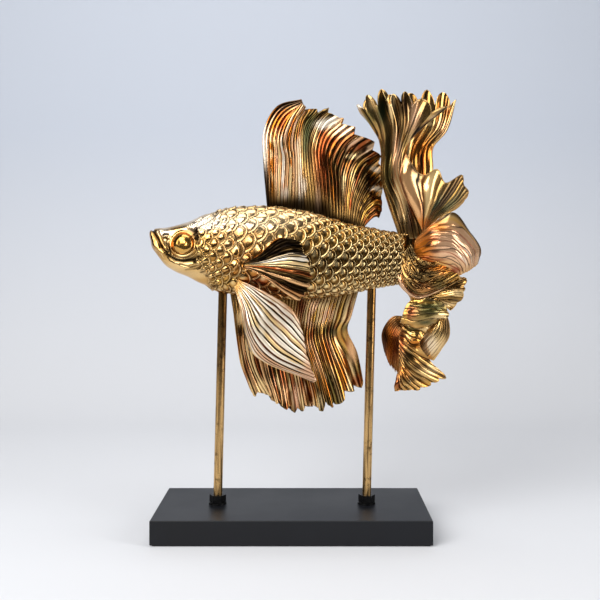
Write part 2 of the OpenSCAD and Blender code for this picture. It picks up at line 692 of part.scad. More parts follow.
lobe(veil_px, veil_grid, veil_pegs);  // tail_veil
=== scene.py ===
import math

import bpy
import numpy as np
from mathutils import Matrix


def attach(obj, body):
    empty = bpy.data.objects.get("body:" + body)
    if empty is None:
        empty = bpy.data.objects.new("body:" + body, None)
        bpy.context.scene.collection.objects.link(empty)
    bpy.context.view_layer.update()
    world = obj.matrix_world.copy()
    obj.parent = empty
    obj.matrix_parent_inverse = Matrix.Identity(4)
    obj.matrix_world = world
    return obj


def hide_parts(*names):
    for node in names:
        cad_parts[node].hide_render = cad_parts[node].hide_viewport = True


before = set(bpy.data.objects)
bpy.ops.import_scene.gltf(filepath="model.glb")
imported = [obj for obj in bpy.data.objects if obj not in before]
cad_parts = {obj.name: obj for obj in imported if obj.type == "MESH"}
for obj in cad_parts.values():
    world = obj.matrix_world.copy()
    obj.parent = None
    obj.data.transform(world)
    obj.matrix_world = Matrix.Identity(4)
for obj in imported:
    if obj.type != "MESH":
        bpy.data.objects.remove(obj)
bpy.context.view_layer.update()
print("CAD model loaded")

# Photograph frame: pixels across and down, and depth away from the viewer in the same pixels
photo = {
    "eye": 843.0,  # how far the viewer stands from the rods
    "sight": (306.6, 256.6),  # where the level line of sight meets the picture
    "pixel": 0.228 / 251.7,  # metres to a pixel at the rods: the body's length over its pixels
    "sightX": 0.01296, "sightZ": 0.2454  # the line of sight, in metres
}


def place(p):
    # a point seen at a pixel moves away from the line of sight in step with its distance from the viewer
    k = (photo["eye"] + p[..., 2]) / photo["eye"]
    x = (p[..., 0] - photo["sight"][0]) * k * photo["pixel"] + photo["sightX"]
    z = (photo["sight"][1] - p[..., 1]) * k * photo["pixel"] + photo["sightZ"]
    return np.stack((x, p[..., 2] * photo["pixel"], z), -1)


def seen(points):
    # the reverse of place, with both sides of the fish taken as the near one
    k = 1 - np.abs(points[..., 1]) / photo["pixel"] / photo["eye"]
    x = (points[..., 0] - photo["sightX"]) / photo["pixel"] / k + photo["sight"][0]
    y = photo["sight"][1] - (points[..., 2] - photo["sightZ"]) / photo["pixel"] / k
    return x, y


def spline(rows, reach):
    # Catmull-Rom curve through each row of points, read at that row's own shares of its length
    last = rows.shape[1] - 1
    i = np.clip(np.floor(reach * last).astype(int), 0, last - 1)
    t = (reach * last - i)[..., None]
    ends = np.concatenate((2 * rows[:, :1] - rows[:, 1:2], rows, 2 * rows[:, -1:] - rows[:, -2:-1]), 1)
    r = np.arange(len(rows))[:, None]
    a, b, c, d = (ends[r, i + k] for k in range(4))
    bend = 2 * a - 5 * b + 4 * c - d
    return b + (c - a) * t / 2 + bend * t ** 2 / 2 + (3 * b - a - 3 * c + d) * t ** 3 / 2


def across(rays, u):
    # the rays between the given ones, at shares u of the way from the first to the last
    columns = np.asarray(rays, float).transpose(1, 0, 2)
    return spline(columns, np.broadcast_to(u, (len(columns), len(u)))).transpose(1, 0, 2)


def wander(a, b, seed):
    # smooth random swell between about -1 and 1: a sum of slanted waves with random lengths and phases
    rng = np.random.default_rng(seed)
    total = np.zeros(np.broadcast(a, b).shape)
    for k in range(7):
        fa, fb = rng.normal(0, 1, 2)
        total += np.sin(2 * np.pi * (a * fa + b * fb) + rng.uniform(0, 2 * np.pi))
    return total / 2.6


def scattered(value):
    # a fixed number between 0 and 1 for each value, with no order to be seen: a large sine's fraction
    return np.mod(np.sin(value) * 43758.5, 1)


def smooth(low, high, value):
    # 0 up to low, 1 from high on and an S-bend between; with low above high it falls instead
    t = np.clip((value - low) / (high - low), 0, 1)
    return t * t * (3 - 2 * t)


def bell(value, middle, width):
    # 1 at the middle, and falling off to both sides as a normal curve
    return np.exp(-((value - middle) / width) ** 2)


def between(pairs, value):
    # straight lines through pairs of place and result, level past the first and the last
    return np.interp(value, *zip(*pairs))


def gridNormal(points, closed=False):
    # the cross product of the grid's two directions at each point, brought to length 1
    girth = np.roll(points, -1, 1) - np.roll(points, 1, 1) if closed else np.gradient(points, axis=1)
    normal = np.cross(np.gradient(points, axis=0), girth)
    return normal / np.maximum(np.linalg.norm(normal, axis=-1, keepdims=True), 1e-12)


def linear(text):
    # sRGB hex to linear colour: a straight piece near black, and the power 2.4 above it
    parts = [int(text[i:i + 2], 16) / 255 for i in (1, 3, 5)]
    return tuple(c / 12.92 if c <= 0.04045 else ((c + 0.055) / 1.055) ** 2.4 for c in parts) + (1.0,)


# Glazes over the gold, whose colours also serve for painted highlights and painted shade
leafColours = {
    "white": "#FFF2DC", "cream": "#F4D093", "rose": "#EDBC94", "gold": "#D6A24A", "orange": "#CC741E",
    "copper": "#8E3D1C", "taupe": "#A0834F", "moss": "#7A703E", "peach": "#E9B27C", "umber": "#33200F",
    "olive": "#4E4D28", "green": "#33402A", "night": "#0B0705"
}


def tinted(px, py, patches, paint=None):
    # soft ellipses laid one over another: middle across and down, half width, half height, colour, strength
    if paint is None:
        paint = np.zeros(px.shape + (4,))
    for x, y, halfX, halfY, name, strength in patches:
        share = strength * np.exp(-(((px - x) / halfX) ** 2 + ((py - y) / halfY) ** 2) ** 1.5)
        paint += (np.array(linear(leafColours[name])) - paint) * share[..., None]
    return paint


def painted(paint, antiqueAndShade, tone):
    # what the gilding reads: the glaze, how far the light glazes dull the metal, the dark of antiquing and
    # painted shade in grooves and hollows, and the tone
    paint[..., :3] /= np.maximum(paint[..., 3:], 1e-4)
    satin = smooth(0.3, 0.85, paint[..., :2].mean(-1)) * paint[..., 3]
    return {"tint": paint, "satin": satin, "antiqueAndShade": np.clip(antiqueAndShade, 0, 1), "tone": np.clip(tone, 0, 1)}


def meshFrom(name, points, faces, values):
    # points and faces go in as whole arrays, and each named value becomes an attribute of the points
    mesh = bpy.data.meshes.new(name)
    mesh.vertices.add(len(points))
    mesh.vertices.foreach_set("co", points.astype(np.float32).ravel())
    mesh.loops.add(faces.size)
    mesh.loops.foreach_set("vertex_index", faces.astype(np.int32).ravel())
    mesh.polygons.add(len(faces))
    mesh.polygons.foreach_set("loop_start", np.arange(0, faces.size, faces.shape[1], dtype=np.int32))
    mesh.update(calc_edges=True)
    mesh.validate()
    for key, value in values.items():
        kind, field = ("FLOAT", "value") if value.ndim == 1 else ("FLOAT_COLOR", "color")
        layer = mesh.attributes.new(key, kind, "POINT")
        layer.data.foreach_set(field, value.astype(np.float32).ravel())
    mesh.shade_smooth()
    piece = bpy.data.objects.new(name, mesh)
    bpy.context.scene.collection.objects.link(piece)
    return piece


def flat(grid):
    # a grid of points, numbers or colours as one list
    return grid.reshape((-1,) + grid.shape[2:])


def quads(ids):
    # the four corners of each cell of a grid of point numbers
    return np.stack((ids[:-1, :-1], ids[1:, :-1], ids[1:, 1:], ids[:-1, 1:]), -1).reshape(-1, 4)


def tubeTriangles(ids):
    # two triangles to each cell of a grid whose last column joins its first
    faces = quads(np.concatenate((ids, ids[:, :1]), 1))
    return np.concatenate((faces[:, [0, 1, 2]], faces[:, [0, 2, 3]]))


def twoSided(name, front, rear, values):
    # a front and a rear grid that share their border close into one skin
    n, m = front.shape[:2]
    ids = np.arange(n * m).reshape(n, m)
    back = ids.copy()
    back[1:-1, 1:-1] = n * m + np.arange((n - 2) * (m - 2)).reshape(n - 2, m - 2)
    points = np.concatenate((flat(front), flat(rear[1:-1, 1:-1])))
    faces = np.concatenate((quads(ids)[:, ::-1], quads(back)))
    both = {key: np.concatenate((flat(value), flat(value[1:-1, 1:-1]))) for key, value in values.items()}
    return meshFrom(name, points, faces, both)


# Materials


def node(tree, kind, inputs=(), result=0, **settings):
    # one node with its settings, and its inputs, by name or in order, from sockets or plain values; it gives
    # back one of its outputs
    made = tree.nodes.new("ShaderNode" + kind)
    for key, value in settings.items():
        setattr(made, key, value)
    for key, value in inputs.items() if isinstance(inputs, dict) else enumerate(inputs):
        if isinstance(value, bpy.types.NodeSocket):
            tree.links.new(value, made.inputs[key])
        else:
            made.inputs[key].default_value = value
    return made.outputs[result] if made.outputs else made


def layered(tree, under, *layers):
    # colours laid one over another, each by its share; a colour is a hex value or a socket
    under = linear(under)
    for share, over in layers:
        over = linear(over) if isinstance(over, str) else over
        under = node(tree, "Mix", {0: share, 6: under, 7: over}, 2, data_type="RGBA")
    return under


def newMaterial(name):
    # an empty material with its tree and the Object coordinates that its patterns follow
    material = bpy.data.materials.new(name)
    material.use_nodes = True
    tree = material.node_tree
    tree.nodes.clear()
    return material, tree, node(tree, "TexCoord", (), "Object")


gildLook = {
    "bright": "#FBDDA0", "pale": "#E8BD74", "deep": "#A46A24", "dark": "#0E0703", "roughness": 0.16,
    "grain": 0.7, "clouds": 14.29  # millimetres: grain of the casting, and patches of thinner leaf
}


def gildedResin():
    # gold leaf over cast resin: crests pale, partly rubbed leaf and partly painted highlight; grooves and
    # hollows brown, partly antiquing and partly painted shade; coloured glazes
    look = gildLook
    material, tree, where = newMaterial("gildedResin")
    antiqueAndShade, tone, satin = (
        node(tree, "Attribute", (), "Fac", attribute_name=name) for name in ("antiqueAndShade", "tone", "satin")
    )
    tint = node(tree, "Attribute", (), "Color", attribute_name="tint")
    shape = node(tree, "NewGeometry", (), "Pointiness")
    grain = node(tree, "TexNoise", {
        "Vector": where, "Scale": 1000 / look["grain"], "Detail": 2.0, "Roughness": 0.5
    })
    clouds = node(tree, "TexNoise", {"Vector": where, "Scale": 1000 / look["clouds"], "Detail": 2.0})
    # concave places darken: antiquing and painted shade
    dented = node(tree, "MapRange", (shape, 0.485, 0.42, 0.0, 0.9))
    hollow = node(tree, "Math", (antiqueAndShade, dented), operation="MAXIMUM")
    colour = layered(
        tree, look["deep"], (tone, look["pale"]),
        (node(tree, "MapRange", (clouds, 0.4, 0.75, 0.0, 0.2)), look["deep"]),  # thin leaf
        (node(tree, "MapRange", (shape, 0.515, 0.58, 0.0, 0.8)), look["bright"]),  # rubbed crests, and a painted highlight on convex edges
        (tint.node.outputs["Alpha"], tint), (hollow, look["dark"])  # glazes, then antiquing and painted shade in grooves and hollows
    )
    rough = node(tree, "MapRange", (grain, 0.3, 0.7, look["roughness"] - 0.04, look["roughness"] + 0.06))
    matt = node(tree, "MapRange", (hollow, 0.2, 1.0, 0.0, 0.3))
    shader = node(tree, "BsdfPrincipled", {
        "Base Color": colour, "Metallic": node(tree, "MapRange", (satin, 0.0, 1.0, 1.0, 0.45)),
        "Roughness": node(tree, "Math", (rough, matt), operation="ADD"),
        "Normal": node(tree, "Bump", {"Height": grain, "Strength": 0.1, "Distance": 0.0002})
    })
    node(tree, "OutputMaterial", (shader,))
    return material


gilding = gildedResin()
print("gilding ready")


def gilded(piece, nodeName):
    # a casting that stands for one node of the CAD model
    piece.data.materials.append(gilding)
    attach(piece, "root")
    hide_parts(nodeName)


# Body

# Stations along the body, in pixels: across, back, belly and half width
bodyTable = np.array([
    [150, 233.5, 239, 3], [151.5, 231, 244.5, 6.5], [155, 229.3, 251.5, 10.5], [160, 228.8, 258.5, 13.5],
    [167, 228, 266, 16], [176, 226, 271.5, 18], [188, 222, 277, 20.5], [202, 215.5, 283.5, 22.5],
    [220, 211.5, 289.5, 24], [240, 209.3, 293.5, 25], [262, 208.2, 296, 25], [285, 210, 297, 24],
    [308, 214.5, 296, 22], [330, 221, 293.5, 19.5], [350, 227, 290.5, 16.5], [370, 231, 286.5, 14],
    [386, 234, 283, 12], [404, 236.5, 280.5, 10]
])
bodyLook = {
    # each piece's first and last share of the table, its rings and the points round them
    "parts": {
        "fishHead": (0.0, 0.45, 220, 310), "fishShoulder": (0.445, 0.73, 255, 380),
        "fishTrunk": (0.725, 1.0, 250, 380)
    },
    "halfWidth": 0.0225, "widest": 25,  # metres, and the table's half width that stands for them
    "powerWide": 0.85, "powerTall": 0.95,  # below 1 the section is fuller than an oval
    "satin": 0.3,  # how far pale glazes dull the metal
    # glazes placed in the picture, partly painted light: the white and cream ones on the upper back and belly
    # are painted highlights, and the umber across the tail's middle band, the night under the eye and the
    # umber on the eyeball are painted shade
    "patches": [
        (335, 255, 62, 30, "gold", 0.4), (205, 222, 26, 9, "white", 0.75), (255, 221, 50, 9, "white", 0.6),
        (232, 240, 14, 12, "cream", 0.5), (165, 232, 8, 4, "white", 0.7), (183, 262, 20, 5, "cream", 0.3),
        (200, 250, 14, 14, "gold", 0.3), (168, 240, 5, 5, "cream", 0.6), (175, 267, 14, 6, "cream", 0.7),
        (195, 274, 14, 5, "cream", 0.6), (183, 233, 8, 2, "orange", 0.5),
        (193.5, 244, 2, 8, "orange", 0.55), (173, 246, 2, 7, "orange", 0.45),
        (183, 256, 8, 2, "cream", 0.6), (183, 244, 9, 9, "gold", 0.7), (178, 239, 4, 5, "umber", 0.5),
        (188, 260, 13, 2.5, "night", 0.85), (196.5, 234, 3.5, 7, "umber", 0.95),
        (154, 240, 3, 7, "umber", 0.6), (250, 238, 40, 10, "orange", 0.2), (290, 222, 30, 8, "cream", 0.5),
        (262, 262, 30, 14, "orange", 0.65), (258, 281, 13, 7, "copper", 0.95),
        (225, 280, 12, 5, "gold", 0.6), (262, 216, 50, 7, "cream", 0.6), (275, 238, 26, 9, "cream", 0.4),
        (350, 258, 55, 18, "umber", 0.7), (322, 262, 22, 14, "umber", 0.4), (350, 284, 50, 4, "gold", 0.5),
        (345, 240, 50, 5, "gold", 0.4), (345, 287, 40, 4, "cream", 0.5), (395, 258, 8, 26, "umber", 0.45),
        (272, 291, 24, 5, "copper", 0.7)
    ]
}
scaleLook = {
    "rows": 30, "cheekRows": 42, "slant": 0.2,  # rows round the girth, and how far they shift in scales
    "disc": (0.54, 1.2),  # half a scale's length and width, in columns and rows
    "rearward": (265, 335), "dome": (0.12, 0.43), "cheekDome": 0.4,  # scales bulge more from there to there
    # pixels: length of a scale at places along the body
    "pitch": [
        (150, 12.5), (226, 13.5), (240, 20), (280, 19.5), (300, 17.5), (320, 15.5), (342, 14), (362, 11.5),
        (380, 10), (404, 9)
    ],
    "height": 3.0, "size": [(190, 0.62), (240, 1.0), (290, 1.0), (330, 1.15), (400, 1.0)],
    "shadow": [(200, 0.13), (280, 0.15), (340, 0.22), (400, 0.26)],  # the width of each scale's painted shadow, in scales
    "gill": [(205, 214), (220, 224), (228, 231), (238, 235), (250, 239), (262, 240), (272, 232), (284, 214)],
    "first": 195, "last": 400  # where the scales begin and end
}
eyeLook = {
    "middle": (183.3, 244), "ball": 10, "bulge": 5,  # the ball's radius, and how far it stands out
    "rings": [(11.9, 1.2, 1.1), (10.4, 0.6, -0.7)],  # radius, width and height of a ring and of its seam
    "darkRing": (10.5, 0.5), "pupil": (180.5, 243.5), "pupilHalf": (1.6, 3),
    "lids": [(14.2, -0.8), (15.3, 0.6), (16.6, -0.9)], "lidWidth": 0.6  # radius and height of the folds below
}
# Bent lines on the head and throat: points, width, height and darkness, the darkness being painted shade in
# the cut. Dark cuts come first, and then the raised ridges of lips, jaw, brow and gill
faceLines = [
    ([(152.5, 229.5), (155.5, 235), (158.5, 241), (161.5, 247)], 1.4, -2.2, 1.0),
    ([(161.5, 247), (164.5, 250.5), (168, 252.5)], 1.1, -1.4, 1.0),
    ([(163, 235.2), (165, 233.8), (168, 234.4)], 1.0, -1.4, 1.0),
    ([(163.5, 237.6), (166, 237.4), (167.5, 239)], 1.0, -1.4, 1.0),
    ([(158.5, 232), (161, 236), (163, 241), (166, 246)], 0.8, -1.0, 0.8),
    ([(167, 254), (171, 257.5), (176, 260.5), (184, 262), (192, 260.5), (199, 256)], 2.0, -1.8, 1.0),
    ([(166, 243), (169.5, 248), (171, 254)], 1.3, -1.2, 0.9),
    ([(191, 229), (195.5, 232), (198, 237), (198.5, 243)], 2.2, -1.6, 0.95),
    ([(180, 264.5), (190, 267), (200, 264.5)], 0.7, -0.6, 0.8),
    ([(186, 269.5), (196, 268), (206, 265)], 0.7, -0.5, 0.6),
    ([(240, 256), (243.2, 260.5), (241, 266), (236, 269)], 1.2, -1.2, 0.8),
    ([(228, 282), (234, 276), (240, 273)], 1.0, -1.0, 0.8), ([(213, 283.5), (218, 285)], 1.2, -0.8, 0.8),
    ([(198, 268.5), (204, 264), (209, 262.5)], 0.8, -0.9, 0.9),
    ([(201, 272.5), (211, 267), (217, 263)], 0.8, -0.9, 0.9),
    ([(206, 275.5), (217, 271), (227, 264.5)], 0.8, -0.9, 0.9),
    ([(213, 277.5), (224, 273.5), (231, 269)], 0.8, -0.8, 0.8),
    ([(152, 231), (151.5, 238), (154, 244), (159, 250), (166, 254.5)], 1.8, 1.1, 0),
    ([(170, 264), (182, 268), (200, 271)], 3.5, 0.9, 0),
    ([(160, 231), (168, 230.5), (178, 229), (190, 226.5)], 2.6, 0.8, 0),
    ([(163, 236.5), (167, 236)], 1.0, 0.9, 0), ([(170.5, 237), (170, 244), (172, 251)], 1.0, 0.6, 0),
    ([(234, 255), (239.5, 259), (238.5, 264)], 2.4, 1.2, 0),
    ([(246, 269), (240, 265.5), (233, 271)], 1.4, 1.0, 0)
]


def nearLine(px, py, points, width):
    # closeness to a bent line: 1 on it, falling off as a bell over the given width
    best = np.full(px.shape, 1e9)
    for (ax, ay), (bx, by) in zip(points[:-1], points[1:]):
        dx, dy = bx - ax, by - ay
        t = np.clip(((px - ax) * dx + (py - ay) * dy) / (dx * dx + dy * dy), 0, 1)
        best = np.minimum(best, (px - ax - t * dx) ** 2 + (py - ay - t * dy) ** 2)
    return np.exp(-best / width ** 2)


def scaleRelief(columns, rows, spread, domed):
    # overlapping discs in staggered rows: each rises to a free edge that faces the tail, and the one
    # whose middle lies furthest to the front covers the rest
    halfLong, halfWide = scaleLook["disc"]
    e, da, db, tone = [], [], [], []
    for dr in (-1, 0, 1):
        r = np.round(rows) + dr
        shift = 0.5 * np.mod(r, 2)
        for dc in (-1, 0, 1):
            c = np.round(columns - shift) + shift + dc
            da.append(columns - c)
            db.append(rows - r)
            e.append(np.sqrt((da[-1] / halfLong) ** 2 + (db[-1] / halfWide) ** 2))
            tone.append(scattered(c * 12.9898 + r * 78.233))
    e, da, db, tone = (np.array(v) for v in (e, da, db, tone))
    top = np.where(e < 1, da, -9).argmax(0)[None]
    topE, topA, topB, topTone = (np.take_along_axis(v, top, 0)[0] for v in (e, da, db, tone))
    free = smooth(-0.12, 0.12, topA)
    bead = bell(topE, 0.9, 0.08) * free
    ring = bell(topE, 0.74, 0.065) * free
    wedge = 0.3 + 0.7 * (topA + halfLong) / (2 * halfLong) - 0.2 * (topB / halfWide) ** 2
    dome = np.clip(1 - (topE / 0.7) ** 2, 0, 1)
    height = (wedge + 0.2 * bead - 0.2 * ring + domed * dome) * smooth(1.0, 0.93, topE)
    # painted shadow beyond each free edge, on the scale that it covers
    outside = np.clip(e - 0.99, 0, None) / spread
    shadow = np.exp(-outside ** 1.3) * (e > 0.96) * (da > topA) * smooth(-0.2, 0.1, da)
    dark = np.maximum(shadow.max(0), (0.6 + 0.4 * domed) * ring)
    # painted highlight on the upper middle of each scale, and along its rim on the lower side
    paintedGlint = np.exp(-(((topA - 0.08) / 0.17) ** 2 + ((topB + 0.28) / 0.36) ** 2) ** 2) * free
    paintedGlint = np.maximum(paintedGlint, 0.95 * bead * smooth(-0.9, -0.1, topB))
    # painted shade on the tail side and lower part of each scale
    hollow = np.exp(-((topA - 0.2) / 0.22) ** 2 - ((topB - 0.2) / 0.5) ** 2) * free * (topE < 0.8)
    # the tone is paler on the rims: a painted highlight
    return height, dark, 0.2 + 0.3 * topTone + 0.5 * bead, paintedGlint, hollow


def bodyScales(placed, turn, px, py):
    # the scales' rise, their grooves with painted shadow and shade, their tone, their painted glint, and how
    # bare the skin
    # is: their columns follow the pitch along the body and their rows run round the girth, and those before
    # the gill are smaller
    look = scaleLook
    stations = np.linspace(bodyTable[0, 0], bodyTable[-1, 0], 1000)
    passed = np.cumsum((stations[1] - stations[0]) / between(look["pitch"], stations))
    columns = np.interp(placed, stations, passed)[:, None] + look["slant"] * np.sin(turn * 2) + 0 * px
    rearward = smooth(*look["rearward"], px)
    spread = between(look["shadow"], px) * (1 - 0.35 * smooth(240, 214, py))
    bulge = look["dome"][0] + look["dome"][1] * rearward
    kinds = ((look["cheekRows"], look["cheekDome"]), (look["rows"], bulge))
    cheek, large = (
        scaleRelief(columns, turn / (2 * np.pi) * count + 0 * px, spread, domed) for count, domed in kinds
    )
    gill = px - between(look["gill"], py)
    relief, edge, tone, paintedGlint, hollow = (np.where(gill < 0, 0.9 * a, b) for a, b in zip(cheek, large))
    relief = relief + 0.35 * smooth(-4, 0, gill) * (gill < 0)
    # painted shadow along the gill cover's edge
    edge = np.maximum(edge, 0.9 * bell(gill, 0.9, 0.9) * smooth(228, 236, py) * smooth(268, 262, py))
    # painted shade in a band across the middle of the rear scales
    shadedBand = smooth(226, 246, py) * smooth(287, 276, py)
    edge = np.maximum(edge, hollow * rearward * (0.3 + 0.65 * shadedBand))
    start = look["first"] + 12 * smooth(262, 280, py) + 20 * smooth(232, 216, py)
    scaled = smooth(-3, 5, px - start) * smooth(look["last"] + 6, look["last"], px)
    rise = relief * between(look["size"], px) * look["height"] * scaled
    # the painted shade is weaker on the upper back of the front half, where the light falls
    antiqueAndShade = edge * scaled * (1 - 0.45 * smooth(240, 216, py) * smooth(340, 280, px))
    paintedGlint = paintedGlint * scaled * (0.45 + 0.55 * rearward)
    return rise, antiqueAndShade, tone * scaled + 0.6 * (1 - scaled), paintedGlint, 1 - smooth(-4, 4, px - start)


def eyeForm(px, py, rise, antiqueAndShade):
    # a domed ball with a dimple for its pupil, in a raised ring with folded lids under it
    look = eyeLook
    ex, ey = px - look["middle"][0], py - look["middle"][1]
    r = np.hypot(ex, ey)
    ball = np.clip(1 - (r / look["ball"]) ** 2, 0, 1)
    rise = rise + look["bulge"] * np.sqrt(ball) * smooth(0, 0.1, ball)
    for radius, width, height in look["rings"]:
        rise = rise + height * bell(r, radius, width)
    (x, y), (halfX, halfY) = look["pupil"], look["pupilHalf"]
    pupil = np.exp(-(((px - x) / halfX) ** 2 + ((py - y) / halfY) ** 2) ** 2)
    rise = rise - 0.2 * pupil
    # painted shade in the pupil's dimple and along the seam round the ball
    antiqueAndShade = np.maximum(np.maximum(antiqueAndShade, 0.9 * pupil), 0.5 * bell(r, *look["darkRing"]))
    low = smooth(-0.2, 0.6, np.sin(np.arctan2(ey, ex) - 0.35)) * (r > 11)
    for radius, height in look["lids"]:
        fold = low * bell(r, radius, look["lidWidth"])
        rise = rise + height * fold
        # painted shade in the lower folds
        antiqueAndShade = np.maximum(antiqueAndShade, 0.8 * fold * (height < 0))
    return rise, antiqueAndShade


def fishBody(name, first, final, rings, sides):
    # rings along the table: the half width follows a cosine and the half height a sine, each to its own
    # power, and the skin then rises along its normal by scales, eye, face and pebbles
    look = bodyLook
    q = spline(bodyTable[None], np.linspace(first, final, rings)[None])[0]
    turn = 2 * np.pi * np.arange(sides) / sides
    mid = place(np.stack((q[:, 0], (q[:, 1] + q[:, 2]) / 2, 0 * q[:, 0]), -1))
    points = np.repeat(mid[:, None], sides, 1)
    for axis, wave, power, half in (
        (1, np.cos(turn), look["powerWide"], q[:, 3] / look["widest"] * look["halfWidth"]),
        (2, np.sin(turn), look["powerTall"], (q[:, 2] - q[:, 1]) / 2 * photo["pixel"])
    ):
        points[..., axis] += half[:, None] * (np.sign(wave) * np.abs(wave) ** power)
    normal = gridNormal(points, True)
    outwards = np.sign(np.sum(normal * (points - mid[:, None]), -1).mean())
    px, py = seen(points)
    rise, antiqueAndShade, tone, paintedGlint, bare = bodyScales(q[:, 0], turn, px, py)
    rise, antiqueAndShade = eyeForm(px, py, rise, antiqueAndShade)
    for path, width, height, dark in faceLines:
        near = nearLine(px, py, path, width)
        rise += height * near
        # painted shade along the cuts
        antiqueAndShade = np.maximum(antiqueAndShade, dark * near)
    pebbles = wander(px / 3.2, py / 3.2, 5) * smooth(182, 205, px) * bare * smooth(262, 250, py)
    rise += 0.25 * pebbles + 0.35 * wander(px / 26, py / 26, 6)
    antiqueAndShade = np.maximum(antiqueAndShade, 0.5 * smooth(0.9, 1.4, pebbles))
    points = points + outwards * normal * (rise * photo["pixel"])[..., None]
    paint = tinted(px, py, look["patches"])
    # painted highlight on the scales, with less of the dark under it
    paint += (np.array(linear(gildLook["bright"])) - paint) * paintedGlint[..., None]
    values = painted(paint, antiqueAndShade * (1 - 0.9 * paintedGlint), tone)
    values["satin"] *= look["satin"]

    # both ends close on a point in their middle
    ids = np.arange(rings * sides).reshape(rings, sides)
    follow = np.roll(ids, -1, 1)
    nose, tailEnd = (np.full(sides, rings * sides + k) for k in (0, 1))
    caps = (np.stack((ids[0], follow[0], nose), -1), np.stack((follow[-1], ids[-1], tailEnd), -1))
    faces = np.concatenate((tubeTriangles(ids),) + caps)[:, ::int(outwards)]
    points = np.concatenate((flat(points), points[:1].mean(1), points[-1:].mean(1)))
    values = {key: np.concatenate((flat(v), v[0, :1], v[-1, -1:])) for key, v in values.items()}
    return meshFrom(name, points, faces, values)


for partName, span in bodyLook["parts"].items():
    gilded(fishBody(partName, *span), "fish_body")
print("body ready")

# Fins and tail lobes

# A sheet has its own rays from root to tip, grid of points across and along, ribs, tips, notch and seed.
# Sizes are in pixels, and shares run from 0 to 1 across the sheet and from its root to its edge
sheetDefaults = {
    "crowd": 1.25,  # how far the grid crowds towards the edge
    "start": -0.03,  # share by which the root reaches into what carries it
    "shift": 0.0,  # the tips' shift in lobes
    "sharp": 0.0, "peak": 0.72,  # how far the tips are pointed instead of round, and where the point stands
    "ragged": 0.0, "calm": 0.0,  # how uneven their lengths are, and the share across before the notches start
    "folds": (),  # waves across: count, height, phase and the power by which they swell
    "ribHeight": 1.5, "ribFull": 3.2,  # height, and the spacing at which a rib gets all of it
    "ribMap": ((0, 0), (1, 1)), "warp": 0.15,  # the ribs' spread across, and how far they wander
    "plain": (),  # ribless ellipses: middle, half width and half height in hundredths of the sheet
    "fine": 0.0, "grooveWide": 0.7,  # share of the ridges on the ribs' backs, and the dark grooves' width
    "rootThick": 3.2, "edgeThick": 1.4, "thinnest": 0.7,  # thickness at root and edge, and in the grooves
    "bead": 0.0,  # the bead inside the rim
    "rootShade": 0.0, "soft": 0.0,  # painted shade at the root, where the sheet meets what carries it, and how dull the metal is at least
    "patches": (),  # glazes placed in the picture
    "bands": (),  # glazes placed in hundredths of the sheet
    "streaks": ()  # glazes on single ribs: across from and to, along from and to, crests, grooves, strength
}


def tipCut(look, u):
    # the share that each ray loses: a sine's or a saw's gap between lobes, and more where a lobe is short
    lobe = look["tips"] * u + look["shift"] + 0.15 * wander(u * 3, 0 * u, look["seed"] + 9)
    lengths = np.random.default_rng(look["seed"]).uniform(0, 1, look["tips"] + 3)
    shorter = np.interp(lobe, np.arange(look["tips"] + 3) - 0.5, lengths)
    part = np.mod(lobe, 1)
    rounded = np.abs(np.sin(np.pi * lobe)) ** 0.7
    pointed = np.minimum(part / look["peak"], (1 - part) / (1 - look["peak"])) ** 1.1
    profile = rounded + (pointed - rounded) * look["sharp"]
    notched = look["notch"] * (1 - profile) * smooth(look["calm"] - 0.06, look["calm"], u)
    return notched + look["ragged"] * shorter


def fromBorder(base):
    # each point's distance from the tip and the sides along its own grid lines, in pixels and 50 at most
    along, wide = (np.linalg.norm(np.gradient(base, axis=k), axis=-1) / photo["pixel"] for k in (1, 0))
    fromTip = np.cumsum(along[:, ::-1], 1)[:, ::-1] - along
    fromSide = np.minimum(np.cumsum(wide, 0) - wide, np.cumsum(wide[::-1], 0)[::-1] - wide)
    return np.minimum(np.minimum(fromTip, fromSide), 50)


def streaked(look, gridU, gridV, phase, onCrest, shade):
    # each rib picks its colours by its own fixed number, one for its crest and one for the groove beside it,
    # and they blend into the next in the list as the shade wanders
    paint = np.zeros(gridU.shape + (4,))
    for u0, u1, v0, v1, crests, grooves, strength in look["streaks"]:
        share = strength * np.clip(1.2 - 0.5 * shade, 0, 1)
        for low, high, soft, value in ((u0, u1, 4, 100 * gridU), (v0, v1, 8, 100 * gridV)):
            share = share * smooth(low - soft, low + soft, value) * smooth(high + soft, high - soft, value)
        picked = []
        for names, step in ((crests, np.floor(phase)), (grooves, np.round(phase))):
            chance = scattered(step * 39.425 + look["seed"]) * len(names) + 1.2 * shade
            first = np.floor(chance).astype(int)
            table = np.array([linear(leafColours[name]) for name in names])
            blend = smooth(0.25, 0.75, chance - first)[..., None]
            picked.append(table[first % len(names)] * (1 - blend) + table[(first + 1) % len(names)] * blend)
        paint += (picked[1] + (picked[0] - picked[1]) * onCrest - paint) * share[..., None]
    return paint


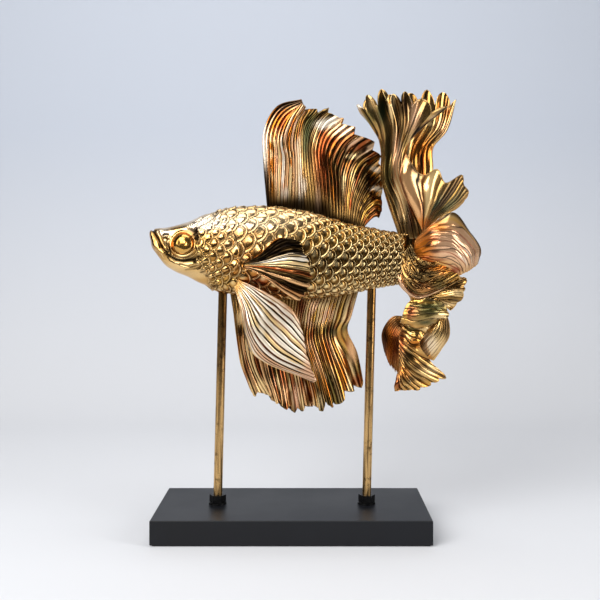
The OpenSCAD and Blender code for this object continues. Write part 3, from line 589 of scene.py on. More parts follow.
def ribbedSheet(name, given):
    # splines across the rays give a base, which is folded along its normal, ribbed and thickened both ways
    look = {**sheetDefaults, **given}
    pixel, seed = photo["pixel"], look["seed"]
    turns, steps = look["grid"]
    u = np.linspace(0, 1, turns)
    v = look["start"] + (1 - look["start"]) * (1 - (1 - np.linspace(0, 1, steps)) ** look["crowd"])
    reach = np.where(v > 0, v * (1 - tipCut(look, u)[:, None]), v)
    base = place(spline(across(look["rays"], u), reach))
    gridU, gridV = np.meshgrid(u, np.clip(v, 0, 1), indexing="ij")

    # folds: waves across the sheet that swell towards its edge
    normal = gridNormal(base)
    for count, height, phase, power in look["folds"]:
        wave = np.sin(2 * np.pi * (count * gridU + phase + 0.1 * wander(gridU, gridV, 3)))
        base = base + normal * (height * pixel * gridV ** power * wave)[..., None]
    normal = gridNormal(base)

    # ribs: rounded ridges with sharp grooves between, and finer ones on their backs
    span = np.linalg.norm(np.gradient(base, axis=0), axis=-1) * (turns - 1) / pixel
    shares = between(look["ribMap"], u)
    phase = look["ribs"] * shares[:, None] + look["warp"] * wander(gridU * 4, gridV * 1.3, seed + 2)
    crest = np.abs(np.sin(np.pi * phase)) ** 0.5
    fine = np.abs(np.sin(np.pi * (3 * phase + 0.3 * wander(gridU * 9, gridV * 2, seed + 3)))) ** 0.8
    full = np.clip(span / look["ribs"] / np.gradient(shares, u)[:, None] / look["ribFull"], 0, 1)
    for u0, v0, halfU, halfV in look["plain"]:
        away = ((100 * gridU - u0) / halfU) ** 2 + ((100 * gridV - v0) / halfV) ** 2
        full = full * (1 - np.exp(-away ** 2))
    relief = look["ribHeight"] * full * (crest - 0.5 + look["fine"] * (fine - 0.5))

    # thickness: from root to edge, with a bead inside the rim, and rounded off on every side
    near = fromBorder(base)
    half = (look["rootThick"] + (look["edgeThick"] - look["rootThick"]) * gridV) / 2
    half = half + look["bead"] * bell(near, look["bead"], 1.2 * look["bead"] + 0.1)
    rounded = np.sqrt(np.clip(1 - np.clip(1 - near / np.maximum(half, 0.6), 0, 1) ** 2, 0, 1))
    rounded[[0, -1]] = 0
    rounded[:, [0, -1]] = 0
    thick = normal * (np.maximum(half + relief, look["thinnest"] / 2) * rounded * pixel)[..., None]
    front, rear = base - thick, base + thick

    # antiquing and painted shade in the grooves, painted shade at the root, and glazes over the rest
    shade = 0.5 + 0.25 * wander(gridU * 14, gridV * 3, seed + 5)
    fineCut = min(1, 5 * look["fine"]) * 0.5 * smooth(0.5, 0.1, fine) * smooth(0, 1, full)
    antiqueAndShade = smooth(look["grooveWide"], 0.25, crest) + fineCut
    antiqueAndShade = antiqueAndShade * np.clip(full * 1.5, 0, 1) * smooth(0, 1.5, near)
    root = smooth(0.16 + 0.08 * wander(gridU * 7, 0 * gridV, 2), 0.02, gridV)
    antiqueAndShade = np.maximum(antiqueAndShade, look["rootShade"] * root)
    paint = streaked(look, gridU, gridV, phase, smooth(0.55, 0.85, crest)[..., None], shade)
    paint = tinted(*seen(front), look["patches"], paint)
    paint = tinted(100 * gridU, 100 * gridV, look["bands"], paint)
    # tone: random from rib to rib and wandering, and paler on the crests, partly rubbed leaf and partly
    # painted highlight
    rank = scattered(np.floor(phase) * 12.9898 + seed)
    values = painted(paint, antiqueAndShade, 0.1 + 0.3 * rank + 0.3 * smooth(0.8, 1, crest) + 0.3 * shade)
    values["satin"] = np.maximum(values["satin"], look["soft"])
    return twoSided(name, front, rear, values)


def column(x, k):
    # a column of the body's table at a place along it
    return float(np.interp(x, bodyTable[:, 0], bodyTable[:, k]))


def rooted(edge, rays):
    # each row is a root along the body, a sway and a flat ray: the ray gets a start just off the back or
    # belly, and a depth that grows to the sway at its tip by the power 1.3
    k, off = {"back": (1, -0.7), "belly": (2, 0.7)}[edge]
    made = []
    for root, sway, ray in rays:
        whole = [[root, column(root, k) + off]] + ray
        made.append([[p[0], p[1], sway * (j / (len(whole) - 1)) ** 1.3] for j, p in enumerate(whole)])
    return made


dorsalFin = {
    "rays": rooted("back", [
        (267, 6, [[263, 160], [264, 130], [278, 106.5], [303, 101.5]]),
        (273, 0, [[272, 162], [272, 135], [283, 113], [303.5, 102.5]]),
        (281, -6, [[282, 162], [281, 139], [289, 118], [304, 103.5]]),
        (290, -10, [[291, 163], [289, 141], [294, 122], [304.5, 105]]),
        (299, -5, [[298, 161], [296, 140], [300, 121], [307, 107]]),
        (308, 6, [[303, 162], [303, 141], [308, 121], [319, 108.5]]),
        (316, 11, [[310, 165], [310, 143], [317, 123], [331.5, 107.5]]),
        (324, 5, [[319, 169], [318, 147], [326, 127], [341.5, 115.5]]),
        (332, -6, [[329, 177], [327, 155], [334, 137], [351, 123.5]]),
        (339, -9, [[338, 186], [337, 166], [346, 147], [364.5, 132.5]]),
        (345, 0, [[346, 193], [348, 174], [358, 157], [377.5, 143.5]]),
        (350, 12, [[353, 199], [359, 182], [368, 167], [382, 158.5]]),
        (355, 14, [[360, 206], [367, 193], [375, 184], [385.5, 176]]),
        (359, 12, [[364, 213], [370, 206], [376, 202], [382.5, 203]]),
        (363, 9, [[368, 223], [372, 219], [376, 217], [380, 219]])
    ]),
    # glazes; the white ones are painted highlights, and the umber and night ones along the root by the back
    # are painted shade
    "patches": [
        (297, 160, 2, 30, "cream", 0.6), (304, 186, 2.5, 8, "white", 0.6), (305, 132, 6, 24, "green", 0.75),
        (310, 118, 6, 9, "olive", 0.7), (265, 155, 3, 36, "white", 0.8), (277, 165, 2, 30, "rose", 0.6),
        (310, 158, 3, 24, "umber", 0.6), (338, 178, 8, 22, "umber", 0.4), (325, 123, 10, 6, "white", 0.97),
        (333, 119, 7, 5, "white", 0.9), (316, 137, 3, 10, "cream", 0.6), (344, 131, 7, 4, "rose", 0.8),
        (336, 142, 12, 8, "copper", 0.6), (358, 148, 9, 3, "copper", 0.6), (352, 156, 8, 3, "cream", 0.7),
        (377, 167, 7, 3, "white", 0.95), (378, 187, 7, 3, "white", 0.95), (374, 177, 8, 3, "night", 0.7),
        (352, 178, 2.5, 12, "cream", 0.5), (343, 182, 2.5, 12, "cream", 0.7),
        (323, 168, 9, 26, "copper", 0.35), (286, 105, 17, 3, "umber", 0.6),
        (262, 202, 8, 16, "umber", 0.97), (279, 207, 12, 6, "umber", 0.95), (298, 204, 14, 8, "night", 0.9),
        (320, 209, 11, 9, "umber", 0.9), (337, 224, 22, 8, "umber", 0.9), (286, 193, 3, 6, "white", 0.6),
        (318, 200, 3, 14, "rose", 0.6), (372, 214, 9, 7, "umber", 0.5)
    ],
    "streaks": [
        (-9, 33, 6, 60, ["rose", "white", "peach", "orange", "cream"], ["copper", "orange", "umber"], 0.95),
        (-9, 33, 52, 84, ["gold", "orange", "rose", "orange", "copper"], ["copper", "umber"], 0.95),
        (-9, 33, 88, 109, ["rose", "orange", "rose"], ["umber", "copper"], 0.85),
        (34, 46, 25, 109, ["olive", "green", "umber", "moss"], ["umber", "night"], 0.85),
        (46, 72, 12, 80, ["copper", "umber", "orange", "umber", "copper"], ["umber", "copper"], 0.9),
        (52, 74, 80, 109, ["peach", "copper", "rose"], ["umber", "night"], 0.9),
        (72, 109, 10, 85, ["umber", "gold", "copper", "umber", "umber"], ["night", "umber"], 0.9),
        (72, 109, 85, 109, ["white", "copper", "umber", "cream"], ["night"], 0.8)
    ],
    "bands": [
        (1, 80, 6, 24, "umber", 0.9), (10, 100, 10, 8, "umber", 0.7), (0, 12, 6, 12, "umber", 0.95)
    ],
    "grid": (400, 115), "ribs": 36, "tips": 11, "notch": 0.075, "ragged": 0.01, "seed": 4, "rootShade": 0.95,
    "folds": [(5.5, 1.6, 0.1, 1.6), (11, 0.8, 0.3, 2.2)], "sharp": 0.85, "calm": 0.28, "ribFull": 2.6,
    "warp": 0.12, "grooveWide": 0.62, "rootThick": 3.6
}
gilded(ribbedSheet("dorsalFin", dorsalFin), "dorsal_fin")

analFin = {
    "rays": rooted("belly", [
        (230, 2, [[234, 318], [238, 345], [243, 370], [253, 395.5]]),
        (238, -4, [[241, 320], [244, 347], [251, 374], [262, 397.5]]),
        (247, -8, [[249, 322], [253, 350], [261, 377], [272.5, 398]]),
        (257, -7, [[258, 324], [263, 352], [270, 381], [276, 405]]),
        (268, -2, [[268, 325], [273, 354], [280, 383], [284, 410]]),
        (279, 5, [[278, 326], [283, 354], [290, 384], [296, 415]]),
        (289, 9, [[287, 325], [291, 352], [298, 382], [303, 412]]),
        (297, 9, [[294, 323], [296, 349], [304, 379], [310, 410]]),
        (304, 3, [[300, 321], [300, 346], [309, 376], [317, 410]]),
        (311, -5, [[306, 319], [305, 343], [314, 373], [324, 412.5]]),
        (319, -10, [[313, 318], [311, 341], [320, 370], [331, 409]]),
        (327, -9, [[321, 317], [318, 339], [327, 367], [338, 409]]),
        (336, -2, [[330, 316], [326, 337], [335, 363], [346, 399]]),
        (345, 6, [[338, 315], [334, 335], [343, 359], [356, 391]]),
        (359, 11, [[352, 315], [348, 331], [358, 354], [365, 389]])
    ]),
    "patches": [
        (240, 318, 4, 8, "cream", 0.8), (240, 331, 4, 5, "umber", 0.8), (238, 345, 3, 12, "orange", 0.8),
        (246, 374, 3, 16, "copper", 0.7), (301, 304, 4, 14, "copper", 0.9), (333, 334, 5, 8, "green", 0.7),
        (334, 402, 8, 7, "olive", 0.6), (262, 386, 6, 8, "cream", 0.9), (270, 372, 4, 10, "umber", 0.6),
        (284, 395, 4, 9, "peach", 0.8), (296, 398, 4, 12, "rose", 0.8), (312, 392, 5, 12, "copper", 0.6),
        (354, 352, 6, 14, "peach", 0.95), (359, 383, 6, 8, "copper", 0.85), (350, 384, 3, 9, "cream", 0.8),
        (344, 372, 4, 12, "orange", 0.5), (320, 402, 4, 8, "cream", 0.6)
    ],
    "streaks": [
        (4, 58, 40, 109, ["cream", "umber", "rose", "copper", "peach"], ["night", "umber"], 0.85),
        (50, 109, 5, 36, ["cream", "peach", "gold", "rose", "cream"], ["umber", "copper"], 0.9),
        (50, 109, 36, 52, ["umber", "olive", "copper", "gold"], ["night", "umber"], 0.85),
        (58, 100, 52, 78, ["gold", "copper", "peach", "orange"], ["umber", "copper"], 0.9),
        (54, 100, 78, 109, ["olive", "gold", "orange", "umber", "cream"], ["umber", "night"], 0.85)
    ],
    "grid": (390, 115), "ribs": 35, "tips": 13, "notch": 0.05, "ragged": 0.015, "seed": 7, "rootShade": 0.6,
    "folds": [(5, 2.4, 0.55, 1.4), (12, 1.6, 0.1, 4)], "sharp": 0.6, "plain": [(99, 62, 8, 22)],
    "ribFull": 2.8, "warp": 0.12, "grooveWide": 0.62, "rootThick": 3.6
}
gilded(ribbedSheet("analFin", analFin), "anal_fin")


def outward(root, rays, clear=2.8):
    # side fins root on the flank: their depth is counted from a few pixels off its skin, which lies where the
    # body's section puts it at the root's height
    back, belly, half = (column(root[0], k) for k in (1, 2, 3))
    t = min(1, abs(2 * root[1] - back - belly) / (belly - back)) ** (1 / bodyLook["powerTall"])
    skin = math.sqrt(1 - t * t) ** bodyLook["powerWide"] * half / bodyLook["widest"] * bodyLook["halfWidth"]
    return [[[p[0], p[1], -skin / photo["pixel"] - clear - p[2]] for p in ray] for ray in rays]


def mirrored(rays):
    # the same rays on the far side: their depth changes its sign
    return [[[p[0], p[1], -p[2]] for p in ray] for ray in rays]


pectoralFin = {
    "rays": outward((248, 264), [
        [[247, 261.5, 1], [258, 256, 3], [267, 247, 5], [274, 239.5, 7], [282, 237, 8]],
        [[247.5, 262.5, 1], [261, 256.5, 4], [273, 248, 7], [285, 241.5, 9], [300, 241, 9]],
        [[248, 263.5, 1], [263, 259.5, 4], [277, 253.5, 8], [291, 249, 10], [304, 250, 10]],
        [[248, 264.5, 1], [264, 262.5, 4], [280, 259.5, 8], [295, 258.5, 10], [309, 260, 10]],
        [[248, 265.5, 1], [264, 265.5, 4], [280, 266, 7], [296, 267.5, 9], [312, 271, 9]],
        [[248, 266.5, 1], [263, 269, 4], [279, 273, 7], [295, 277.5, 9], [313, 282, 10]],
        [[247.5, 267.5, 1], [261, 272.5, 3], [276, 280, 5], [291, 287, 7], [308, 293, 8]],
        [[247, 268.5, 1], [258, 273.5, 2], [270, 282, 4], [283, 292, 5], [300, 303, 5]]
    ]),
    # the night on the upper ribs and at the root is painted shade where the fin curls in towards the body,
    # and the white band across the middle is a painted highlight
    "streaks": [
        (-9, 37, -9, 109, ["night", "night", "umber"], ["night"], 1.0),
        (37, 58, 6, 109, ["white", "cream", "white"], ["night", "green"], 1.0),
        (58, 93, -9, 109, ["umber", "night", "umber", "peach", "copper"], ["night", "umber"], 0.95),
        (93, 109, -9, 109, ["peach"], ["copper"], 0.9)
    ],
    "bands": [
        (44, 12, 10, 16, "night", 0.9), (2, 60, 2, 60, "orange", 0.6), (16, 60, 20, 70, "night", 0.85),
        (86, 60, 5, 60, "night", 0.6)
    ],
    "grid": (215, 120), "ribs": 15, "tips": 15, "notch": 0.05, "ragged": 0.02, "seed": 11, "ribHeight": 1.3,
    "edgeThick": 1.2, "start": -0.06, "sharp": 0.6, "ribFull": 2.4, "warp": 0.08
}
pelvicFin = {
    "rays": outward((237, 281), [
        [[240, 280, 2], [259, 289, 5], [277, 298.5, 7], [291, 308, 8], [299, 321, 8]],
        [[240, 282, 2], [256, 294, 7], [275, 309, 10], [291, 324, 11], [304, 340, 9]],
        [[239, 284, 2], [252, 298, 8], [268, 318, 13], [288, 338, 13], [308, 357, 9]],
        [[238, 286, 2], [248, 303, 9], [260, 328, 15], [281, 350, 14], [312, 369, 8]],
        [[237, 287, 2], [245.5, 307, 9], [253, 335, 14], [273, 359, 13], [316, 378, 7]],
        [[236, 288, 3], [243, 309, 9], [248.5, 336, 12], [264, 360, 12], [317, 381, 6]],
        [[234.5, 288, 3], [240.5, 308, 7], [245, 334, 10], [257, 357, 10], [314, 382, 6]]
    ]),
    "patches": [
        (262, 325, 3, 16, "white", 0.6), (290, 302, 8, 10, "rose", 0.5), (308, 372, 8, 6, "rose", 0.8),
        (245, 340, 3, 14, "umber", 0.5)
    ],
    # the white crests are partly pale glaze and partly a painted highlight
    "streaks": [
        (-9, 109, 8, 109, ["white", "white", "rose", "white", "cream"],
         ["umber", "copper", "green", "rose"], 0.95)
    ],
    "bands": [
        (1, 60, 3, 60, "peach", 0.7), (99, 60, 2.5, 50, "umber", 0.85), (94, 60, 2.5, 50, "rose", 0.7),
        (60, 99, 60, 5, "rose", 0.7), (88, 92, 12, 16, "rose", 0.5)
    ],
    "grid": (210, 130), "ribs": 15, "tips": 6, "notch": 0.015, "seed": 12, "ribHeight": 2.0, "ribFull": 2.6,
    "folds": [(2, 1.2, 0.0, 1.2), (5, 0.5, 0.3, 1.0)], "warp": 0.1
}
# The far side's fins are seen less, so their grids are coarser
sideFins = (("PectoralFin", "_pectoral_fin", pectoralFin), ("PelvicFin", "_pelvic_fin", pelvicFin))
for side, turned, fineness in (("left", list, 1.0), ("right", mirrored, 0.7)):
    for finName, nodeName, fin in sideFins:
        grid = tuple(int(n * fineness) for n in fin["grid"])
        sideFin = ribbedSheet(side + finName, {**fin, "rays": turned(fin["rays"]), "grid": grid})
        gilded(sideFin, side + nodeName)
print("fins ready")

# Tail

tailPlume = {
    "rays": [
        [[421, 229, -4], [413, 204, -4], [402, 175, -4],
         [404, 150, -6], [423, 129, -9], [450, 107, -10]],
        [[417, 230, -6.5], [409.5, 203, -7], [399, 174, -6.5],
         [401.5, 148, -9], [415, 125, -15], [427, 100, -19]],
        [[411, 231, -7], [405, 202, -7.5], [395, 172, -8],
         [400, 146, -11], [408, 120, -18], [407, 91.5, -25]],
        [[408, 231, -6.5], [401, 201, -7.5], [392, 173, -8],
         [396, 147, -11], [399, 121, -18], [394, 94, -25]],
        [[406, 233, -4.5], [398, 206, -6], [388, 178, -7],
         [390, 150, -9], [391, 124, -15], [382, 89, -22]],
        [[402, 234, -2], [393, 206, -3], [384.5, 178, -3.5],
         [385, 150, -5], [380, 128, -8], [365, 96, -13]],
        [[400, 234, 1], [391, 206, 1], [383.5, 178, 1],
         [383, 150, 1], [375, 131, 1], [356, 106, 0]],
        [[402.5, 231, 4], [391, 202, 5], [386, 175, 5.5],
         [387, 150, 7], [381, 129, 10], [366, 99, 13]],
        [[405, 231, 6.5], [396, 202, 8], [391, 174, 9],
         [395, 148, 12], [396, 125, 18], [388, 95, 24]],
        [[409.5, 231, 8], [404, 201, 10], [400, 173, 11],
         [405, 148, 15], [412, 122, 22], [409, 94, 29]],
        [[414, 231, 8], [413, 201, 10], [412, 173, 11],
         [415, 148, 15], [426, 122, 21], [427, 90, 27]],
        [[417, 231, 6.5], [420, 201, 9], [423, 173, 10],
         [425, 148, 12], [438, 125, 16], [443, 92.5, 20]],
        [[419, 231, 5], [426, 201, 8], [433, 172, 9],
         [433.5, 148, 10], [447, 129, 11], [457.5, 98, 12]]
    ],
    "patches": [
        # glazes; the cream ones on the left lobes and down the lower stalk are painted highlights
        (405, 160, 60, 90, "taupe", 0.45), (382, 112, 7, 16, "green", 0.85), (369, 116, 7, 13, "moss", 0.8),
        (391, 100, 4, 9, "cream", 0.8), (372, 103, 4, 8, "cream", 0.7), (404, 106, 7, 13, "umber", 0.85),
        (418, 112, 6, 12, "peach", 0.6), (388, 165, 4, 34, "moss", 0.8), (395, 165, 2.5, 30, "peach", 0.7),
        (400, 165, 2, 26, "umber", 0.8), (391, 190, 3, 14, "umber", 0.7), (400, 205, 4, 18, "peach", 0.8),
        (396, 205, 2.5, 14, "olive", 0.8), (412, 226, 12, 9, "umber", 0.8), (409, 212, 3, 12, "umber", 0.8),
        (427, 150, 12, 18, "orange", 0.8), (425, 162, 4, 12, "copper", 0.7),
        (447, 125, 8, 12, "peach", 0.7), (359, 105, 4, 4, "white", 0.8), (428, 95, 4, 6, "orange", 0.8),
        (453, 104, 4, 10, "copper", 0.6), (412, 126, 9, 9, "peach", 0.6), (436, 118, 9, 3, "cream", 0.7),
        (441, 118, 4, 16, "olive", 0.5), (411, 145, 3, 12, "cream", 0.6), (424, 175, 8, 9, "orange", 0.6),
        (398, 186, 2.5, 34, "cream", 0.6), (409, 188, 2.5, 34, "rose", 0.5),
        (404, 212, 4, 16, "cream", 0.6), (391, 108, 3.5, 17, "cream", 0.85),
        (383, 108, 4, 12, "green", 0.9), (402, 104, 6, 11, "umber", 0.75), (414, 114, 5, 14, "rose", 0.75),
        (397, 148, 4.5, 22, "rose", 0.6), (401, 191, 6, 13, "cream", 0.8),
        (412, 205, 3.5, 20, "copper", 0.55), (388, 145, 3, 18, "umber", 0.6)
    ],
    "grid": (330, 145), "ribs": 12, "tips": 12, "shift": 0.5, "notch": 0.09, "seed": 21, "ribHeight": 2.2,
    "ribFull": 5, "warp": 0.35, "grooveWide": 0.6, "folds": [(12, 1.8, 0.25, 2.0)], "rootThick": 3.6,
    "edgeThick": 1.6, "bead": 0.5, "start": -0.06, "soft": 0.1, "rootShade": 0.6
}
gilded(ribbedSheet("tailPlume", tailPlume), "tail_plume")

tailPetal = {
    "rays": [
        [[421, 229, -6], [413, 211, -11], [404, 194, -14], [400, 173, -14.5], [406, 153, -15]],
        [[421.5, 229, -6], [417, 210, -12], [411, 193, -16], [406, 175, -18], [411, 162, -18]],
        [[422, 229, -6], [421, 210, -12], [417, 194, -15], [414, 180, -16], [416.5, 171, -15]],
        [[422.5, 229, -5.5], [424, 210, -10], [423, 196, -12], [422.5, 184, -12], [425, 174.5, -11]],
        [[423, 229, -5], [427, 210, -10], [429.5, 197, -13], [432, 184, -13], [437.5, 169, -9]],
        [[423.5, 229, -4], [430, 212, -6], [436, 202, -7], [440.5, 193, -6], [445.5, 182.5, -4]],
        [[424, 229, -3.5], [433, 213, -3], [442, 203, -3], [452, 190, -1], [461.5, 174.5, 2]],
        [[424.5, 229.5, -3], [434.5, 215, -1], [445, 207, 1], [455, 198, 4], [463.5, 184, 6]],
        [[425, 230, -2.5], [436, 217, 1], [447.5, 210, 4], [458, 203, 8], [468.5, 192, 10]],
        [[425, 231, -2], [437, 219, 3], [446.5, 213.5, 7], [455, 209, 12], [461, 204, 16]]
    ],
    "bands": [
        (15, 55, 16, 60, "peach", 0.9), (24, 75, 6, 30, "cream", 0.8), (25, 25, 8, 20, "copper", 0.5),
        (1, 60, 3, 50, "copper", 0.8), (18, 96, 8, 8, "umber", 0.8), (33, 60, 1.6, 45, "copper", 0.9),
        (42, 60, 5, 50, "cream", 0.95), (62, 60, 8, 60, "umber", 0.9), (56, 40, 4, 30, "green", 0.9),
        (80, 60, 9, 60, "umber", 0.85), (72, 70, 2, 40, "gold", 0.7), (96, 60, 4, 60, "gold", 0.7),
        (30, 8, 60, 8, "orange", 0.8), (79, 46, 13, 40, "olive", 0.75), (68, 60, 3, 40, "umber", 0.8)
    ],
    "grid": (200, 115), "ribs": 12, "tips": 1, "notch": 0.0, "seed": 24, "bead": 0.6, "ribHeight": 0.7,
    "start": -0.05, "warp": 0.05, "ribMap": ((0, 0), (0.5, 0.15), (1, 1)), "soft": 0.5
}
gilded(ribbedSheet("tailPetal", tailPetal), "tail_petal")

tailShell = {
    "rays": [
        [[418, 238, -7], [434, 223, -14], [453, 212.5, -8],
         [468, 230, -3], [480, 249, 0], [477, 264, 3]],
        [[417.5, 241, -8], [434, 229, -18], [451, 225, -17],
         [466, 236, -11], [476.5, 250, -7], [474, 267, -2]],
        [[417, 244, -8.5], [434, 235, -21], [451, 233, -22],
         [464, 242, -17], [473, 254, -12], [471, 269, -6]],
        [[417, 247, -8.5], [434, 241, -22], [450, 240, -24],
         [462, 248, -20], [470, 258, -15], [469, 270.5, -8]],
        [[417, 251, -8.5], [433, 247, -22], [449, 247, -24],
         [460, 253.5, -21], [467, 261.5, -16], [466.5, 272, -9]],
        [[417, 255, -8.5], [433, 253.5, -20], [448, 254, -22],
         [457, 259, -20], [463.5, 265.5, -15], [464, 273, -9]],
        [[417.5, 259, -8.5], [432, 259, -17], [445, 261, -18],
         [454, 264.5, -17], [460, 269, -13], [461, 274.5, -8]],
        [[418, 263, -8], [431, 265, -13], [442, 267.5, -13],
         [450, 270.5, -12], [456, 273, -10], [458, 275.5, -7]]
    ],
    "patches": [
        (455, 247, 34, 24, "rose", 0.95), (440, 229, 9, 5, "orange", 0.9), (430, 240, 6, 9, "copper", 0.6),
        (426, 250, 9, 9, "orange", 0.95), (435, 263, 16, 6, "gold", 0.9),
        (434, 258, 14, 1.5, "copper", 0.8), (446, 217, 6, 4, "cream", 0.8), (422, 262, 6, 5, "night", 0.7),
        (434, 241, 7, 1.5, "copper", 0.9), (455, 268, 7, 3, "copper", 0.8)
    ],
    "bands": [
        (2, 60, 3.5, 50, "umber", 0.9), (8, 60, 2, 45, "gold", 0.7), (99, 70, 4, 40, "copper", 0.8),
        (50, 5, 60, 19, "orange", 0.85), (22, 16, 4, 7, "umber", 0.95), (37, 20, 2.5, 8, "copper", 0.9),
        (52, 15, 4, 6, "umber", 0.95), (66, 23, 3.5, 7, "umber", 0.9), (80, 13, 3, 8, "copper", 0.9),
        (24, 62, 1.1, 34, "copper", 0.95), (35, 66, 1, 36, "umber", 0.95),
        (46, 60, 1.1, 34, "copper", 0.95), (56, 64, 1, 38, "umber", 0.95),
        (67, 58, 1.1, 36, "copper", 0.95), (78, 62, 1.1, 36, "umber", 0.95),
        (89, 60, 1.3, 36, "copper", 0.95), (62, 70, 3, 16, "white", 0.5), (41, 76, 3, 14, "white", 0.5)
    ],
    "grid": (160, 150), "ribs": 8, "tips": 7, "shift": 0.5, "notch": 0.01, "seed": 31, "rootThick": 3.4,
    "edgeThick": 1.6, "bead": 0.4, "ribHeight": 0.6, "warp": 0.35, "grooveWide": 0.5, "soft": 0.7
}
gilded(ribbedSheet("tailShell", tailShell), "tail_shell")

tailFrill = {
    "rays": [
        [[425, 283, -7], [430, 279, -8], [437, 274, -7], [445, 269, -5]],
        [[426, 286, -6.5], [434, 281, -6], [443, 276, -4], [453, 271, -1]],
        [[427, 289, -6], [438, 284, -5], [450, 280, -3], [461, 275, 1]],
        [[428, 291, -6], [440, 287, -6], [453, 282, -6], [467, 277, -2]],
        [[429, 293, -6], [441, 290.5, -8], [454, 287, -9], [466, 285, -6]],
        [[429.5, 295, -5.5], [441, 295, -9], [454, 293, -13], [465, 293, -12]],
        [[430, 297, -5], [441, 299, -8], [452, 301, -10], [460, 303, -8]],
        [[430, 299, -4], [438, 303, -5], [446, 307, -5], [452, 311, -3]]
    ],
    "patches": [
        (434, 279, 10, 6, "umber", 0.8), (448, 276, 8, 4, "gold", 0.8), (457, 277, 5, 4, "cream", 0.9),
        (456, 287, 9, 3.5, "umber", 0.85), (458, 293, 8, 2.5, "cream", 0.9),
        (452, 298, 10, 2.5, "umber", 0.8), (448, 303, 8, 3, "cream", 0.8), (438, 290, 9, 4, "olive", 0.8)
    ],
    "grid": (215, 80), "ribs": 18, "tips": 7, "notch": 0.08, "ragged": 0.05, "seed": 35, "fine": 0.12,
    "folds": [(4, 1.8, 0.3, 1.6)], "bead": 0.4, "ribHeight": 0.8
}
gilded(ribbedSheet("tailFrill", tailFrill), "tail_frill")

# The swag is the wrinkled fold at the frill's root
tailSwag = {
    "rays": [
        [[412, 246, -10], [417, 256, -14], [425, 261, -16], [434, 262, -16], [443, 257, -13]],
        [[409, 250, -11], [413, 263, -15], [421, 271, -18], [433, 271, -18], [449, 264, -13]],
        [[405, 255, -11], [410, 271, -15], [420, 281, -18], [435, 278, -16], [454, 270, -11]],
        [[401.5, 261, -9.5], [407, 279, -14], [419.5, 290, -17], [438, 285, -14], [459, 275, -8]],
        [[396, 268, -6], [401, 285, -11], [415.5, 298, -14], [438, 292, -12], [462, 279, -6]]
    ],
    "patches": [
        (412, 254, 8, 8, "night", 0.9), (425, 268, 12, 8, "umber", 0.8), (412, 288, 6, 6, "olive", 0.7),
        (425, 286, 12, 5, "copper", 0.6), (442, 284, 14, 4, "olive", 0.7),
        (440, 268, 12, 5, "orange", 0.85), (450, 275, 7, 4, "gold", 0.8), (420, 276, 9, 5, "night", 0.7),
        (402, 276, 3, 9, "peach", 0.7)
    ],
    "bands": [
        (98, 40, 6, 40, "rose", 0.9), (90, 40, 3, 40, "copper", 0.7)
    ],
    "grid": (160, 125), "ribs": 8, "tips": 2, "notch": 0.02, "seed": 38, "fine": 0.3, "bead": 0.3,
    "ribHeight": 1.7, "start": -0.05, "warp": 0.8, "folds": [(3, 1.4, 0.2, 0.6)]
}
gilded(ribbedSheet("tailSwag", tailSwag), "tail_frill")

tailSash = {
    "rays": [
        [[416, 299, -6], [426, 298, -9], [437, 301, -8], [447, 306, -5]],
        [[411, 304, -8], [423, 305, -13], [437, 307, -12], [449, 311, -7]],
        [[408, 310, -9], [420, 312, -15], [436, 313, -13], [449, 315.5, -7]],
        [[405.5, 317, -9], [417, 320, -15], [430, 319, -13], [441, 317, -9]],
        [[403, 324, -7], [413, 328, -12], [423, 329, -12], [434, 325, -9]]
    ],
    "patches": [
        (428, 308, 30, 14, "moss", 0.85), (426, 303, 9, 4, "umber", 0.6), (430, 309, 12, 6, "olive", 0.9),
        (411, 313, 7, 6, "copper", 0.85), (420, 303, 12, 2.5, "gold", 0.8),
        (440, 316, 8, 2.5, "cream", 0.85), (424, 321, 8, 3, "green", 0.8), (407, 313, 2.5, 9, "gold", 0.7)
    ],
    "grid": (120, 85), "ribs": 4, "tips": 2, "notch": 0.03, "ragged": 0.02, "seed": 41, "soft": 0.5,
    "folds": [(1.6, 1.6, 0.35, 0.4)], "rootThick": 3.6, "edgeThick": 1.6, "bead": 0.5, "ribHeight": 0.9,
    "warp": 0.4, "start": -0.1
}
gilded(ribbedSheet("tailSash", tailSash), "tail_sash")

tailTrain = {
    "rays": [
        [[405, 322, -1], [412, 324, -6], [421, 326, -9], [431, 326, -8]],
        [[402.5, 329, -2], [409, 333, -8], [416, 336, -11], [424, 337, -9]],
        [[400.5, 336, -3], [406, 341, -9], [413, 346, -11], [421, 348, -8]],
        [[400, 343, -3], [407, 351, -9], [421, 362, -9], [446, 376, 4]],
        [[400, 350, -3], [406, 360, -9], [418, 372, -9], [438, 382, -1]],
        [[400.5, 357, -2], [405, 367, -8], [414, 378, -8], [429, 387, -2]],
        [[401, 364, -1], [403, 373, -7], [409, 382, -8], [417, 390, -4]],
        [[401, 369, 0], [400, 377, -5], [402, 385, -7], [406, 391, -5]],
        [[400, 371, 2], [397, 379, -1], [395, 386, -2], [395, 391, -1]]
    ],
    "patches": [
        (412, 330, 9, 5, "olive", 0.8), (424, 327, 6, 3, "cream", 0.8), (415, 343, 6, 5, "orange", 0.9),
        (404, 342, 3, 14, "copper", 0.8), (408, 356, 7, 7, "umber", 0.8), (430, 370, 12, 6, "cream", 0.7),
        (418, 366, 9, 4, "umber", 0.8), (398, 382, 4, 9, "copper", 0.85), (412, 378, 10, 4, "umber", 0.8),
        (428, 383, 7, 4, "gold", 0.8), (405, 372, 5, 6, "orange", 0.6)
    ],
    "grid": (215, 120), "ribs": 13, "tips": 8, "shift": 0.5, "notch": 0.07, "ragged": 0.02, "seed": 44,
    "folds": [(4, 1.2, 0.4, 1.0)], "rootThick": 2.6, "bead": 0.4, "ribHeight": 1.6, "start": 0.0,
    "soft": 0.15, "fine": 0.12
}
gilded(ribbedSheet("tailTrain", tailTrain), "tail_train")

